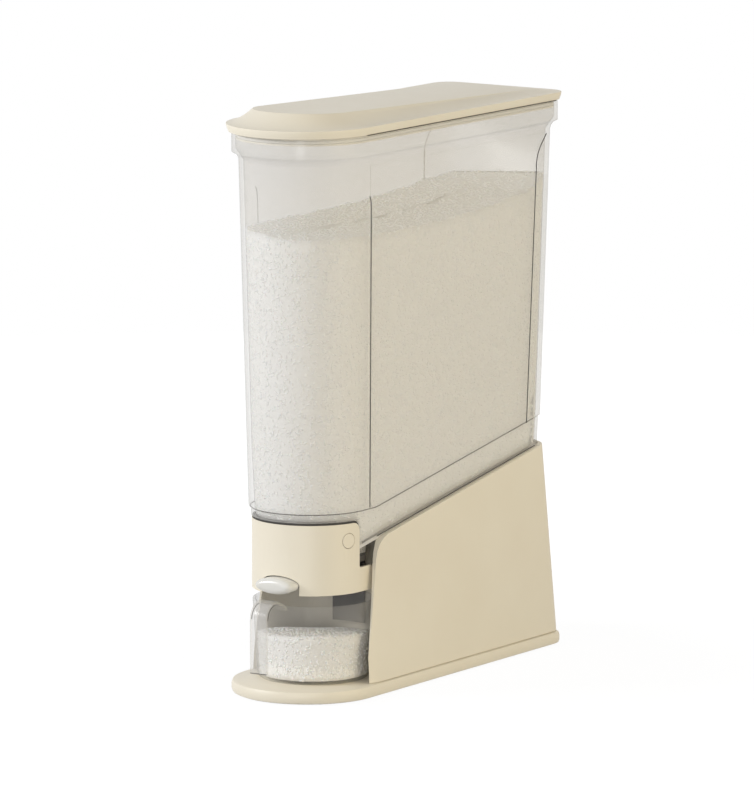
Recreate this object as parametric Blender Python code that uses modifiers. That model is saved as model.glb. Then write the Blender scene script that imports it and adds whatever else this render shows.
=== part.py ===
"""Slim countertop grain dispenser: a clear hopper on a sloped base, a press-button gate and a measuring cup.

Lengths are metres and +Z is up. The pieces are modelled with y = 0 at the centre of the foot plate's round
front and -Y towards the user. At the end the whole object is centred over the origin.
"""
import math
from collections import namedtuple

import bmesh
import bpy
from mathutils import Matrix, Vector

OBJECT_NAME = "cereal_dispenser"

# A D outline: round front of radius half_width about (0, centre), straight sides, rounded back corners
Outline = namedtuple("Outline", "half_width centre back corner")

# Fits and facets
GAP = 0.0003            # between pieces that touch
SLIDE_GAP = 0.0004      # beside pieces that slide or lift out
OVERLAP = 0.001         # how far cutters run past what they cut
ARC_STEPS = 32          # facets round a D outline's front
CORNER_STEPS = 4        # facets round a small corner
EDGE_STEPS = 2          # facets round a softened edge
DOME_STEPS = 5          # facets up the button's dome
BEVEL_STEPS = 6         # facets up the lid's hollow bevel
ROUND_SIDES = 20        # facets round small turned pieces
CUP_SIDES = 48
SMOOTH_ANGLE = 32       # degrees; sharper edges stay crisp
FLAT_ANGLE = 0.5        # degrees; flatter joins between faces are merged
WELD = 1e-6             # points closer than this are one

# Foot plate and its rubber feet
PLATE_HALF_WIDTH = 0.053
PLATE_BACK = 0.251
PLATE_CORNER = 0.012
PLATE_THICKNESS = 0.0092
PLATE_EDGE = 0.0028
FOOT_RADIUS = 0.007
FOOT_THICKNESS = 0.003
FOOT_PROUD = 0.0008
FOOT_MARGIN = 0.013     # plate edge to foot centre

# Base housing: a wedge whose top slopes down to the front
BASE_MARGIN = 0.002     # plate edge to housing
BASE_LEAN_IN = 0.0055   # how much each side leans in up to the top edge
BASE_BACK_LEAN = 0.011
BASE_ARC_CENTRE = 0.019
BASE_CORNER = 0.012
BASE_EDGE = 0.0012
BASE_WALL = 0.0024
BASE_DECK = 0.0026      # thickness of the sloped deck under the hopper
BASE_FRONT_FOOT = 0.0004    # y of the wings' front edge at the plate
BASE_FRONT_LEAN = 0.018     # how far that edge leans back up to the top
BASE_SHOULDER_RADIUS = 0.020
BASE_HEIGHT = 0.1017    # plate to top edge, at y = SLOPE_START
SLOPE_START = 0.0352
SLOPE = 0.176
SEAT_DEPTH = 0.002      # how deep the hopper sits in the base
BOSS_RADIUS = 0.005
BOSS_HEIGHT = 0.026
BOSS_PILOT_DEPTH = 0.018
BOSS_FRONT_Y = 0.078
BOSS_BACK_MARGIN = 0.026
HOUSING_SCREW_RADIUS = 0.002
HOUSING_SCREW_HEAD_RADIUS = 0.0038
HOUSING_SCREW_HEAD = 0.0024

# Hopper: a drafted D-shaped bin with a flared rim, an inset lower band and a neck under its front
HOPPER_WALL = 0.0026
HOPPER_HEIGHT = 0.2603  # base's top edge to the top of the drafted wall
HOPPER_CENTRE = 0.0008
HOPPER_BACK = 0.246
HOPPER_CORNER = 0.014
SIDE_DRAFT = 0.0185
CENTRE_DRIFT = 0.0141
BACK_DRAFT = 0.0302
RIM_FLARE = 0.0038
RIM_CENTRE = -0.001
RIM_BACK = 0.250
RIM_COVE_HEIGHT = 0.006
RIM_COVE = ((0.0, 0.0), (0.12, 0.4), (0.4, 0.75), (1.0, 1.0))   # share of the flare, share of the height
RIM_HEIGHT = 0.014
RIM_EDGE = 0.0008
BAND_INSET = 0.0015      # lower band behind the wall above, at the front and sides
BAND_BACK_INSET = 0.0003
STEP_ABOVE_LIP = 0.0063     # front lip to the band's upper edge
STEP_RISE = 0.0214      # band height above the base's top edge along the sides
LIP_ABOVE_BASE = 0.0130     # base's top edge to the lip under the hopper's front
UNDERCUT_BACK = 0.003
NECK_BACK = 0.020
NECK_CORNER = 0.008
NECK_LENGTH = 0.0247    # below the lip
PANEL_DEPTH = 0.0007
PANEL_FRONT_LOW = 0.0124
PANEL_FRONT_HIGH = 0.0074
PANEL_BACK_LOW = 0.2115
PANEL_BACK_HIGH = 0.2187
PANEL_TOP_MARGIN = 0.002
PANEL_FLICK = 0.012     # how far the back edge turns back under the rim
PANEL_FLICK_HEIGHT = 0.014
PANEL_CORNER = 0.010
KEY_Y = 0.110           # rib under the hopper that stops it sliding down the slope
KEY_HALF_WIDTH = 0.020
KEY_THICKNESS = 0.004
KEY_DEPTH = 0.005

# Lid: moulded cover, press-in liner and seal
LID_OVERHANG = 0.0015   # beyond the hopper's rim, at the sides
LID_CENTRE = -0.005
LID_BACK = 0.2524
LID_CORNER = 0.014
LID_UNDERCUT = 0.0016
LID_BAND = 0.0055
LID_BEVEL_WIDTH = 0.0183
LID_BEVEL_POWER = 1.7   # over 1 hollows the bevel
LID_FRONT_RISE = 0.0103
LID_FALL = 0.0315       # slope of the flat top, down to the back
LID_WALL = 0.0024
LINER_FLANGE = 0.002
LINER_SKIRT = 0.0055
LINER_WALL = 0.0032
LINER_LAND = 0.0014     # flange beyond the skirt, over the hopper's rim
SEAL_HEIGHT = 0.0018
SEAL_WIDTH = 0.0013
SEAL_DROP = 0.0021      # flange to seal

# Collar round the neck
COLLAR_SETBACK = 0.0005     # behind the hopper's band
COLLAR_WALL = 0.0022
COLLAR_SHADOW_GAP = 0.0017
COLLAR_HEIGHT = 0.049
COLLAR_TAIL_HEIGHT = 0.017
COLLAR_TAIL_BACK = 0.0195
COLLAR_CORNER = 0.006
COLLAR_LEDGE = 0.0034
COLLAR_LEDGE_HEIGHT = 0.0025
NOTCH_CLEARANCE = 0.0007    # round the button
PIN_HEAD_RADIUS = 0.00525
PIN_SHANK_RADIUS = 0.0025
PIN_DROP = 0.012        # collar's top edge to pin centre
PIN_AHEAD = 0.012       # pin centre ahead of the collar's arc centre

# Outlet: gasket, funnel chute, spring-loaded slide gate and retainer
GASKET_THICKNESS = 0.0012
CHUTE_FLANGE = 0.004
CHUTE_DEPTH = 0.015     # flange top to gate channel
FUNNEL_MOUTH_INSET = 0.0052
FUNNEL_TOE = 0.0013     # straight stretch at the foot of the funnel
FUNNEL_SIDE_MARGIN = 0.0102     # neck's side to the funnel's foot
FUNNEL_FRONT = -0.012
FUNNEL_BACK = 0.014
CHUTE_BACK = 0.033
SPRING_ROOF = 0.0045
OUTLET_FRONT = -0.0005
OUTLET_LENGTH = 0.009
RAIL_WIDTH = 0.0046
GATE_THICKNESS = 0.0025
GATE_WEB = 0.003
GATE_LAP = 0.001        # how far the closed gate laps past the outlet
GATE_FRONT_LAND = 0.0055
GATE_EAR = 0.0022
GATE_EAR_LENGTH = 0.005
STEM_HALF_WIDTH = 0.009
STEM_SEAT = 0.003       # how deep the stem sits in the button
RETAINER_PLATE = 0.0035
SPOUT_LENGTH = 0.0041
SPOUT_WALL = 0.0022
CHUTE_SCREW_RADIUS = 0.0013
CHUTE_SCREW_HEAD_RADIUS = 0.0022
CHUTE_SCREW_HEAD = 0.0014
CHUTE_SCREW_LENGTH = 0.0105
CHUTE_SCREW_MARGIN = 0.0045
BUTTON_HALF_WIDTH = 0.015
BUTTON_HALF_HEIGHT = 0.00575
BUTTON_DROP = 0.0009    # gate's middle to button's middle
BUTTON_PROUD = 0.008    # ahead of the collar
BUTTON_DEPTH = 0.012
BUTTON_DOME = 0.004
BUTTON_DOME_SHARE = 0.75    # how much of the half height the dome rounds off
SPRING_X = 0.013
SPRING_RADIUS = 0.0021
SPRING_WIRE = 0.0004
SPRING_TURNS = 7
SPRING_POINTS = 8       # points a turn
WALL_BEHIND_SPRING = 0.003
TONGUE_HALF_WIDTH = 0.0133
TONGUE_THICKNESS = 0.0016
TONGUE_CURVE = 0.080    # radius, wider than the cup's
TONGUE_CLEARANCE = 0.0017   # behind the cup
TONGUE_LENGTH = 0.046
TONGUE_ARM = 0.003
TONGUE_ARM_HALF_WIDTH = 0.012

# Measuring cup with a hooked strap handle
CUP_CENTRE = 0.007
CUP_SIDE_CLEARANCE = 0.0033
CUP_BACK_CLEARANCE = 0.0054
CUP_CLEARANCE = 0.008   # rim to collar
CUP_LEAN = 0.003        # rim radius less foot radius
CUP_WALL = 0.002
CUP_FOOT_FILLET = 0.004
STRAP_HALF_WIDTH = 0.0068
STRAP_THICKNESS = 0.0024
STRAP_BEND = 0.011      # middle of the strap
STRAP_REACH = 0.0138    # rim to the bend's centre
STRAP_ABOVE_RIM = 0.0058
STRAP_FOOT = 0.0117     # plate to the strap's free end
STRAP_START = 60        # degrees round the bend where the strap leaves the rim
STRAP_EDGE = 0.0006
STRAP_SEAT = 0.0012     # how deep the strap's root lies in the cup's wall

# Heights worked out from the sizes above
PLATE_BOTTOM = FOOT_PROUD
PLATE_TOP = PLATE_BOTTOM + PLATE_THICKNESS
BASE_BOTTOM = PLATE_TOP + GAP
BASE_TOP = PLATE_TOP + BASE_HEIGHT
LIP_BOTTOM = BASE_TOP + LIP_ABOVE_BASE
STEP_HEIGHT = LIP_BOTTOM + STEP_ABOVE_LIP
NECK_BOTTOM = LIP_BOTTOM - NECK_LENGTH
HOPPER_COVE_BOTTOM = BASE_TOP + HOPPER_HEIGHT
RIM_BOTTOM = HOPPER_COVE_BOTTOM + RIM_COVE_HEIGHT
RIM_TOP = RIM_BOTTOM + RIM_HEIGHT
LID_BOTTOM = RIM_TOP + GAP
LID_SHOULDER = LID_BOTTOM + LID_BAND
COLLAR_TOP = LIP_BOTTOM - COLLAR_SHADOW_GAP
COLLAR_BOTTOM = COLLAR_TOP - COLLAR_HEIGHT
GASKET_TOP = NECK_BOTTOM - GAP
CHUTE_TOP = GASKET_TOP - GASKET_THICKNESS - GAP
CHUTE_BOTTOM = CHUTE_TOP - CHUTE_DEPTH
GATE_TOP = CHUTE_BOTTOM - GAP
GATE_BOTTOM = GATE_TOP - GATE_THICKNESS
GATE_MIDDLE = (GATE_TOP + GATE_BOTTOM) / 2
BUTTON_MIDDLE = GATE_MIDDLE - BUTTON_DROP
RETAINER_TOP = GATE_BOTTOM - GAP
RETAINER_BOTTOM = RETAINER_TOP - RETAINER_PLATE
CUP_BOTTOM = PLATE_TOP + GAP
CUP_RIM = COLLAR_BOTTOM - CUP_CLEARANCE

# Outlines worked out from the sizes above
PLATE = Outline(PLATE_HALF_WIDTH, 0.0, PLATE_BACK, PLATE_CORNER)
BASE_FOOT = Outline(PLATE_HALF_WIDTH - BASE_MARGIN, BASE_ARC_CENTRE,
                    PLATE_BACK - BASE_MARGIN / 2, BASE_CORNER)
BASE_RIM = Outline(BASE_FOOT.half_width - BASE_LEAN_IN, BASE_ARC_CENTRE,
                   BASE_FOOT.back - BASE_BACK_LEAN, BASE_CORNER)
LID = Outline(PLATE_HALF_WIDTH, LID_CENTRE, LID_BACK, LID_CORNER)
RIM = Outline(LID.half_width - LID_OVERHANG, RIM_CENTRE, RIM_BACK, HOPPER_CORNER)

# Gate stroke and the pieces in line with it
OUTLET_BACK = OUTLET_FRONT + OUTLET_LENGTH
STROKE = OUTLET_LENGTH + GATE_LAP
WINDOW_FRONT = OUTLET_FRONT - STROKE
WINDOW_BACK = OUTLET_BACK - STROKE
GATE_FRONT = WINDOW_FRONT - GATE_FRONT_LAND
GATE_BACK = OUTLET_BACK + GATE_LAP + GATE_WEB
SPRING_BACK = CHUTE_BACK - WALL_BEHIND_SPRING


def inset(outline, distance):
    """The same outline drawn in by a distance, or out by a negative one."""
    corner = max(outline.corner - distance, OVERLAP)
    return Outline(outline.half_width - distance, outline.centre, outline.back - distance, corner)


def hopper_outline(z):
    """Outer outline of the drafted hopper wall at a height."""
    drop = HOPPER_COVE_BOTTOM - z
    return Outline(RIM.half_width - RIM_FLARE - SIDE_DRAFT * drop, HOPPER_CENTRE + CENTRE_DRIFT * drop,
                   HOPPER_BACK - BACK_DRAFT * drop, HOPPER_CORNER)


def band_outline(z):
    """Outer outline of the hopper's lower band at a height."""
    wall = hopper_outline(z)
    return Outline(wall.half_width - BAND_INSET, wall.centre, wall.back - BAND_BACK_INSET, wall.corner)


def base_top(y):
    """Height of the base's sloped top edge."""
    return BASE_TOP + SLOPE * (y - SLOPE_START)


def bay_half_width(z):
    """Half the width of the cup bay at a height: the housing's side less its wall."""
    lean = BASE_LEAN_IN * (z - BASE_BOTTOM) / (BASE_TOP - BASE_BOTTOM)
    return BASE_FOOT.half_width - lean - BASE_WALL


BAND = band_outline(LIP_BOTTOM)
COLLAR_CENTRE = BAND.centre
COLLAR_RADIUS = BAND.half_width - COLLAR_SETBACK
NECK = Outline(COLLAR_RADIUS - COLLAR_WALL - SLIDE_GAP, COLLAR_CENTRE, NECK_BACK, NECK_CORNER)
FUNNEL_HALF_WIDTH = NECK.half_width - FUNNEL_SIDE_MARGIN
GATE_HALF_WIDTH = FUNNEL_HALF_WIDTH - RAIL_WIDTH - SLIDE_GAP
OUTLET_HALF_WIDTH = GATE_HALF_WIDTH - GATE_WEB
CUP_RADIUS = bay_half_width(CUP_RIM) - CUP_SIDE_CLEARANCE
BAY_BACK = CUP_CENTRE + CUP_RADIUS + CUP_BACK_CLEARANCE
BUTTON_FRONT = COLLAR_CENTRE - COLLAR_RADIUS - BUTTON_PROUD
STRAP_CENTRE = CUP_CENTRE - CUP_RADIUS - STRAP_REACH
STRAP_FRONT = STRAP_CENTRE - STRAP_BEND - STRAP_THICKNESS / 2


def start_scene():
    """Empties the scene and makes a collection for the parts and one for the cutters."""
    for old in list(bpy.data.objects):
        bpy.data.objects.remove(old, do_unlink=True)
    collections = []
    for name in (OBJECT_NAME, "cutters"):
        collection = bpy.data.collections.new(name)
        bpy.context.scene.collection.children.link(collection)
        collections.append(collection)
    return collections


PARTS, CUTTERS = start_scene()


def add_object(name, bm):
    """Puts a finished bmesh in the scene as a smooth-shaded object."""
    bmesh.ops.recalc_face_normals(bm, faces=bm.faces)
    mesh = bpy.data.meshes.new(name)
    bm.to_mesh(mesh)
    bm.free()
    mesh.shade_smooth()
    mesh.set_sharp_from_angle(angle=math.radians(SMOOTH_ANGLE))
    item = bpy.data.objects.new(name, mesh)
    PARTS.objects.link(item)
    return item


def d_ring(outline, height):
    """Points round a D outline; height is a number or a function of y."""
    half, centre, back, corner = outline
    flat = []
    for i in range(ARC_STEPS + 1):
        angle = math.pi * (1 + i / ARC_STEPS)
        flat.append((half * math.cos(angle), centre + half * math.sin(angle)))
    for side, start in ((1, 0.0), (-1, math.pi / 2)):
        for i in range(CORNER_STEPS + 1):
            angle = start + math.pi / 2 * i / CORNER_STEPS
            flat.append((side * (half - corner) + corner * math.cos(angle),
                         back - corner + corner * math.sin(angle)))
    return [(x, y, height(y) if callable(height) else height) for x, y in flat]


def quarter_round(steps):
    """(inward, downward) shares of a radius round an edge, from the side up to the top."""
    angles = [math.pi / 2 * i / steps for i in range(steps + 1)]
    return [(1 - math.cos(a), 1 - math.sin(a)) for a in angles]


def rounded_rings(outline, low, high, radius):
    """Rings of a D-shaped plate with both edges rounded."""
    edge = quarter_round(EDGE_STEPS)
    lower = [d_ring(inset(outline, radius * inward), low + radius * up) for inward, up in reversed(edge)]
    upper = [d_ring(inset(outline, radius * inward), high - radius * down) for inward, down in edge]
    return lower + upper


def loft(name, rings, closed=False):
    """Solid through rings of equal count, capped at both ends or closed round into a loop."""
    bm = bmesh.new()
    layers = [[bm.verts.new(point) for point in ring] for ring in rings]
    follow = layers[1:] + layers[:1] if closed else layers[1:]
    for low, high in zip(layers, follow):
        for i in range(len(low)):
            j = (i + 1) % len(low)
            bm.faces.new((low[i], low[j], high[j], high[i]))
    if not closed:
        bm.faces.new(reversed(layers[0]))
        bm.faces.new(layers[-1])
    return add_object(name, bm)


def band_ring(name, outer, inner, low, high):
    """D-shaped ring between two outlines."""
    rings = [d_ring(outer, low), d_ring(outer, high), d_ring(inner, high), d_ring(inner, low)]
    return loft(name, rings, closed=True)


def box(name, low, high):
    """Box between two corners."""
    low, high = Vector(low), Vector(high)
    place = Matrix.Translation((low + high) / 2) @ Matrix.Diagonal((*(high - low), 1))
    bm = bmesh.new()
    bmesh.ops.create_cube(bm, size=1.0, matrix=place)
    return add_object(name, bm)


def cylinder(name, radius, start, end):
    """Cylinder from one point to another."""
    start, end = Vector(start), Vector(end)
    turn = (end - start).to_track_quat('Z', 'Y').to_matrix().to_4x4()
    bm = bmesh.new()
    bmesh.ops.create_cone(bm, cap_ends=True, segments=ROUND_SIDES, radius1=radius, radius2=radius,
                          depth=(end - start).length, matrix=Matrix.Translation((start + end) / 2) @ turn)
    return add_object(name, bm)


def arc(centre, radius, start, end, steps):
    """Points on an arc, angles in degrees."""
    angles = [math.radians(start + (end - start) * i / steps) for i in range(steps + 1)]
    return [(centre[0] + radius * math.cos(a), centre[1] + radius * math.sin(a)) for a in angles]


def round_corners(corners):
    """Outline through (a, b, radius) corners, each turned on an arc of its own radius."""
    outline = []
    for i, (a, b, radius) in enumerate(corners):
        here = Vector((a, b))
        if radius == 0:
            outline.append((a, b))
            continue
        before = (Vector(corners[i - 1][:2]) - here).normalized()
        after = (Vector(corners[(i + 1) % len(corners)][:2]) - here).normalized()
        half_angle = before.angle(after) / 2
        centre = here + (before + after).normalized() * radius / math.sin(half_angle)
        first = here + before * radius / math.tan(half_angle) - centre
        last = here + after * radius / math.tan(half_angle) - centre
        start = math.degrees(math.atan2(first.y, first.x))
        turn = (math.degrees(math.atan2(last.y, last.x)) - start + 180) % 360 - 180
        outline += arc(centre, radius, start, start + turn, CORNER_STEPS)
    return outline


# From a flat outline's own axes to the world: (a, b) is (y, z), (x, z) or (x, y)
OUTLINE_AXES = {
    'X': Matrix(((0, 0, 1, 0), (1, 0, 0, 0), (0, 1, 0, 0), (0, 0, 0, 1))),
    'Y': Matrix(((1, 0, 0, 0), (0, 0, 1, 0), (0, 1, 0, 0), (0, 0, 0, 1))),
    'Z': Matrix.Identity(4),
}


def mesh_from_curve(name, curve):
    """Turns a curve into a welded mesh object and removes the curve."""
    guide = bpy.data.objects.new(name + "_curve", curve)
    PARTS.objects.link(guide)
    mesh = bpy.data.meshes.new_from_object(guide.evaluated_get(bpy.context.evaluated_depsgraph_get()))
    bpy.data.objects.remove(guide)
    bpy.data.curves.remove(curve)
    bm = bmesh.new()
    bm.from_mesh(mesh)
    bpy.data.meshes.remove(mesh)
    bmesh.ops.remove_doubles(bm, verts=bm.verts, dist=WELD / 10)
    return bm


def slab(name, outline, low, high, axis='Z'):
    """Flat outline given a thickness from low to high along an axis."""
    curve = bpy.data.curves.new(name, 'CURVE')
    curve.dimensions = '2D'
    curve.fill_mode = 'BOTH'
    curve.extrude = (high - low) / 2
    spline = curve.splines.new('POLY')
    spline.points.add(len(outline) - 1)
    for point, (a, b) in zip(spline.points, outline):
        point.co = (a, b, 0, 1)
    spline.use_cyclic_u = True
    bm = mesh_from_curve(name, curve)
    bmesh.ops.dissolve_limit(bm, angle_limit=math.radians(FLAT_ANGLE), verts=bm.verts, edges=bm.edges)
    place = OUTLINE_AXES[axis] @ Matrix.Translation((0, 0, (low + high) / 2))
    bmesh.ops.transform(bm, matrix=place, verts=bm.verts)
    return add_object(name, bm)


def turned(name, profile, at, sides):
    """Solid of revolution about the vertical through a point, from (radius, z) points."""
    bm = bmesh.new()
    points = [bm.verts.new((radius, 0, z)) for radius, z in profile]
    for first, second in zip(points, points[1:]):
        bm.edges.new((first, second))
    mesh = bpy.data.meshes.new(name)
    bm.to_mesh(mesh)
    bm.free()
    item = bpy.data.objects.new(name, mesh)
    PARTS.objects.link(item)
    item.location = at
    screw = item.modifiers.new("turn", 'SCREW')
    screw.steps = screw.render_steps = sides
    screw.use_merge_vertices = True
    screw.merge_threshold = WELD
    screw.use_smooth_shade = True
    return item


def trim(item, point, normal):
    """Cuts away what lies behind a plane and closes the cut."""
    bm = bmesh.new()
    bm.from_mesh(item.data)
    geometry = bm.verts[:] + bm.edges[:] + bm.faces[:]
    result = bmesh.ops.bisect_plane(bm, geom=geometry, plane_co=point, plane_no=normal, clear_inner=True)
    rim = [piece for piece in result["geom_cut"] if isinstance(piece, bmesh.types.BMEdge)]
    bmesh.ops.edgeloop_fill(bm, edges=rim)
    bmesh.ops.recalc_face_normals(bm, faces=bm.faces)
    bm.to_mesh(item.data)
    bm.free()


def trim_to_slope(item, y, z):
    """Cuts away what lies under a plane parallel to the base's top, through (y, z)."""
    trim(item, (0, y, z), (0, -SLOPE, 1))


def combine(target, tools, operation):
    """Adds a Boolean for each tool and hides the tool with the cutters."""
    for tool in tools:
        modifier = target.modifiers.new(tool.name, 'BOOLEAN')
        modifier.operation = operation
        modifier.object = tool
        PARTS.objects.unlink(tool)
        CUTTERS.objects.link(tool)
        tool.hide_render = True
        tool.display_type = 'WIRE'


def cut(target, *tools):
    combine(target, tools, 'DIFFERENCE')


def join(target, *tools):
    combine(target, tools, 'UNION')


def keep(target, *tools):
    combine(target, tools, 'INTERSECT')


def soften(item, width, angle=40):
    """Rounds the sharp edges of an item."""
    bevel = item.modifiers.new("soften", 'BEVEL')
    bevel.width = width
    bevel.segments = EDGE_STEPS
    bevel.limit_method = 'ANGLE'
    bevel.angle_limit = math.radians(angle)


def stud(name, spot, low, head_radius, head, shank_radius, length):
    """Pan-head screw standing head down, its head's face at low."""
    profile = [(0, low + length), (shank_radius, low + length), (shank_radius, low + head),
               (head_radius, low + head), (head_radius, low), (0, low)]
    return turned(name, profile, (*spot, 0), ROUND_SIDES)


def mirrored(spots):
    """Each spot and its twin across the middle plane."""
    return [(side * x, y) for x, y in spots for side in (-1, 1)]


# Spots that more than one piece shares
FRONT_FOOT = (PLATE_HALF_WIDTH - FOOT_MARGIN) * math.sqrt(0.5)
FOOT_SPOTS = mirrored([(FRONT_FOOT, -FRONT_FOOT),
                       (PLATE_HALF_WIDTH - FOOT_MARGIN, PLATE_BACK - FOOT_MARGIN)])
BOSS_X = BASE_FOOT.half_width - BASE_WALL - BOSS_RADIUS
BOSS_SPOTS = mirrored([(BOSS_X, BOSS_FRONT_Y), (BOSS_X, BASE_FOOT.back - BOSS_BACK_MARGIN)])
CHUTE_SCREW_X = FUNNEL_HALF_WIDTH - CHUTE_SCREW_HEAD_RADIUS - GAP
CHUTE_SCREW_SPOTS = mirrored([(CHUTE_SCREW_X, FUNNEL_FRONT + CHUTE_SCREW_MARGIN),
                              (CHUTE_SCREW_X, CHUTE_BACK - CHUTE_SCREW_MARGIN)])
PIN_OUT = Vector((math.sqrt(COLLAR_RADIUS ** 2 - PIN_AHEAD ** 2), -PIN_AHEAD, 0)).normalized()


def pin_line(side, radius):
    """Point on a collar pin's axis at a distance from the collar's arc centre."""
    return Vector((side * PIN_OUT.x * radius, COLLAR_CENTRE + PIN_OUT.y * radius, COLLAR_TOP - PIN_DROP))


def make_foot_plate():
    plate = loft("foot_plate", rounded_rings(PLATE, PLATE_BOTTOM, PLATE_TOP, PLATE_EDGE))
    under = PLATE_BOTTOM - OVERLAP
    for i, (x, y) in enumerate(FOOT_SPOTS):
        recess_top = FOOT_THICKNESS + GAP
        cut(plate, cylinder(f"foot_recess_{i}", FOOT_RADIUS + GAP, (x, y, under), (x, y, recess_top)))
    for i, (x, y) in enumerate(BOSS_SPOTS):
        head_room = PLATE_BOTTOM + HOUSING_SCREW_HEAD + 2 * GAP
        above = PLATE_TOP + OVERLAP
        cut(plate,
            cylinder(f"counterbore_{i}", HOUSING_SCREW_HEAD_RADIUS + GAP, (x, y, under), (x, y, head_room)),
            cylinder(f"clearance_{i}", HOUSING_SCREW_RADIUS + GAP, (x, y, under), (x, y, above)))
    return plate


def make_feet():
    return [cylinder(f"foot_pad_{i + 1}", FOOT_RADIUS, (x, y, 0), (x, y, FOOT_THICKNESS))
            for i, (x, y) in enumerate(FOOT_SPOTS)]


def make_housing_screws():
    low = PLATE_BOTTOM + GAP
    length = BASE_BOTTOM + BOSS_PILOT_DEPTH - OVERLAP - low
    return [stud(f"housing_screw_{i + 1}", spot, low, HOUSING_SCREW_HEAD_RADIUS, HOUSING_SCREW_HEAD,
                 HOUSING_SCREW_RADIUS, length) for i, spot in enumerate(BOSS_SPOTS)]


def bay_solid(name, wall):
    """The cup bay grown by a wall: flat sides to the front and an elliptical back."""
    rings = []
    for z in (BASE_BOTTOM - 2 * OVERLAP, base_top(BAY_BACK) + BASE_SHOULDER_RADIUS):
        half = bay_half_width(z) + wall
        depth = BAY_BACK + wall - CUP_CENTRE
        back = [(half * math.cos(a), CUP_CENTRE + depth * math.sin(a), z)
                for a in (math.pi * i / ARC_STEPS for i in range(ARC_STEPS + 1))]
        front = -PLATE_HALF_WIDTH
        rings.append([(half, front, z)] + back + [(-half, front, z)])
    return loft(name, rings)


def hopper_band_solid(name, clearance, floor):
    """The hopper's lower band grown by a clearance and cut under at a height above the base's seat."""
    low, high = NECK_BOTTOM - KEY_DEPTH, base_top(HOPPER_BACK) + 2 * STEP_RISE
    band = loft(name, [d_ring(inset(band_outline(z), -clearance), z) for z in (low, high)])
    trim_to_slope(band, SLOPE_START, BASE_TOP - SEAT_DEPTH + floor)
    return band


def key_box(name, clearance, depth):
    """The hopper's locating key, grown by a clearance, from inside its floor down."""
    top = base_top(KEY_Y) - SEAT_DEPTH
    half = KEY_THICKNESS / 2 + clearance
    return box(name, (-KEY_HALF_WIDTH - clearance, KEY_Y - half, top - depth),
               (KEY_HALF_WIDTH + clearance, KEY_Y + half, top + HOPPER_WALL / 2))


def make_base_housing():
    edge = BASE_EDGE
    rings = [d_ring(BASE_FOOT, BASE_BOTTOM)]
    rings += [d_ring(inset(BASE_RIM, edge * inward), lambda y, down=down: base_top(y) - edge * down)
              for inward, down in quarter_round(EDGE_STEPS)]
    housing = loft("base_housing", rings)
    back = PLATE_BACK + OVERLAP
    shoulder = BASE_FRONT_FOOT + BASE_FRONT_LEAN
    front_profile = round_corners([
        (BASE_FRONT_FOOT, BASE_BOTTOM - OVERLAP, 0), (back, BASE_BOTTOM - OVERLAP, 0),
        (back, base_top(back) + OVERLAP, 0),
        (shoulder, base_top(shoulder) - edge / 2, BASE_SHOULDER_RADIUS)])
    keep(housing, slab("housing_profile", front_profile, -PLATE_HALF_WIDTH, PLATE_HALF_WIDTH, 'X'))
    hollow = loft("housing_hollow", [
        d_ring(inset(BASE_FOOT, BASE_WALL), BASE_BOTTOM - OVERLAP),
        d_ring(inset(BASE_RIM, BASE_WALL), lambda y: base_top(y) - SEAT_DEPTH - BASE_DECK)])
    cut(hollow, bay_solid("bay_wall", BASE_WALL))
    cut(housing, hollow)
    for i, (x, y) in enumerate(BOSS_SPOTS):
        boss_top = BASE_BOTTOM + BOSS_HEIGHT
        join(housing, cylinder(f"boss_{i}", BOSS_RADIUS, (x, y, BASE_BOTTOM), (x, y, boss_top)))
    for i, (x, y) in enumerate(BOSS_SPOTS):
        cut(housing, cylinder(f"boss_pilot_{i}", HOUSING_SCREW_RADIUS + GAP, (x, y, BASE_BOTTOM - OVERLAP),
                              (x, y, BASE_BOTTOM + BOSS_PILOT_DEPTH)))
    cut(housing, bay_solid("cup_bay", 0.0), hopper_band_solid("hopper_seat", SLIDE_GAP, 0.0),
        key_box("key_slot", SLIDE_GAP, KEY_DEPTH + BASE_DECK))
    return housing


def hopper_side_panels():
    """Cutter for the shallow recessed panel on each side, leaning with the wall."""
    foot = hopper_outline(STEP_HEIGHT).half_width - PANEL_DEPTH
    top = HOPPER_COVE_BOTTOM - PANEL_TOP_MARGIN

    def below_step(y):
        return base_top(y) + STEP_RISE - BASE_EDGE

    outline = round_corners([
        (PANEL_FRONT_LOW, below_step(PANEL_FRONT_LOW), PANEL_CORNER),
        (PANEL_BACK_LOW, below_step(PANEL_BACK_LOW), PANEL_CORNER),
        (PANEL_BACK_HIGH, top - PANEL_FLICK_HEIGHT, PANEL_CORNER),
        (PANEL_BACK_HIGH + PANEL_FLICK, top, 0), (PANEL_FRONT_HIGH, top, 0)])
    panels = slab("side_panels", outline, foot, foot + RIM_FLARE, 'X')
    for vertex in panels.data.vertices:
        vertex.co.x += SIDE_DRAFT * (vertex.co.z - STEP_HEIGHT)
    mirror = panels.modifiers.new("both sides", 'MIRROR')
    mirror.merge_threshold = WELD
    return panels


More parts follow.
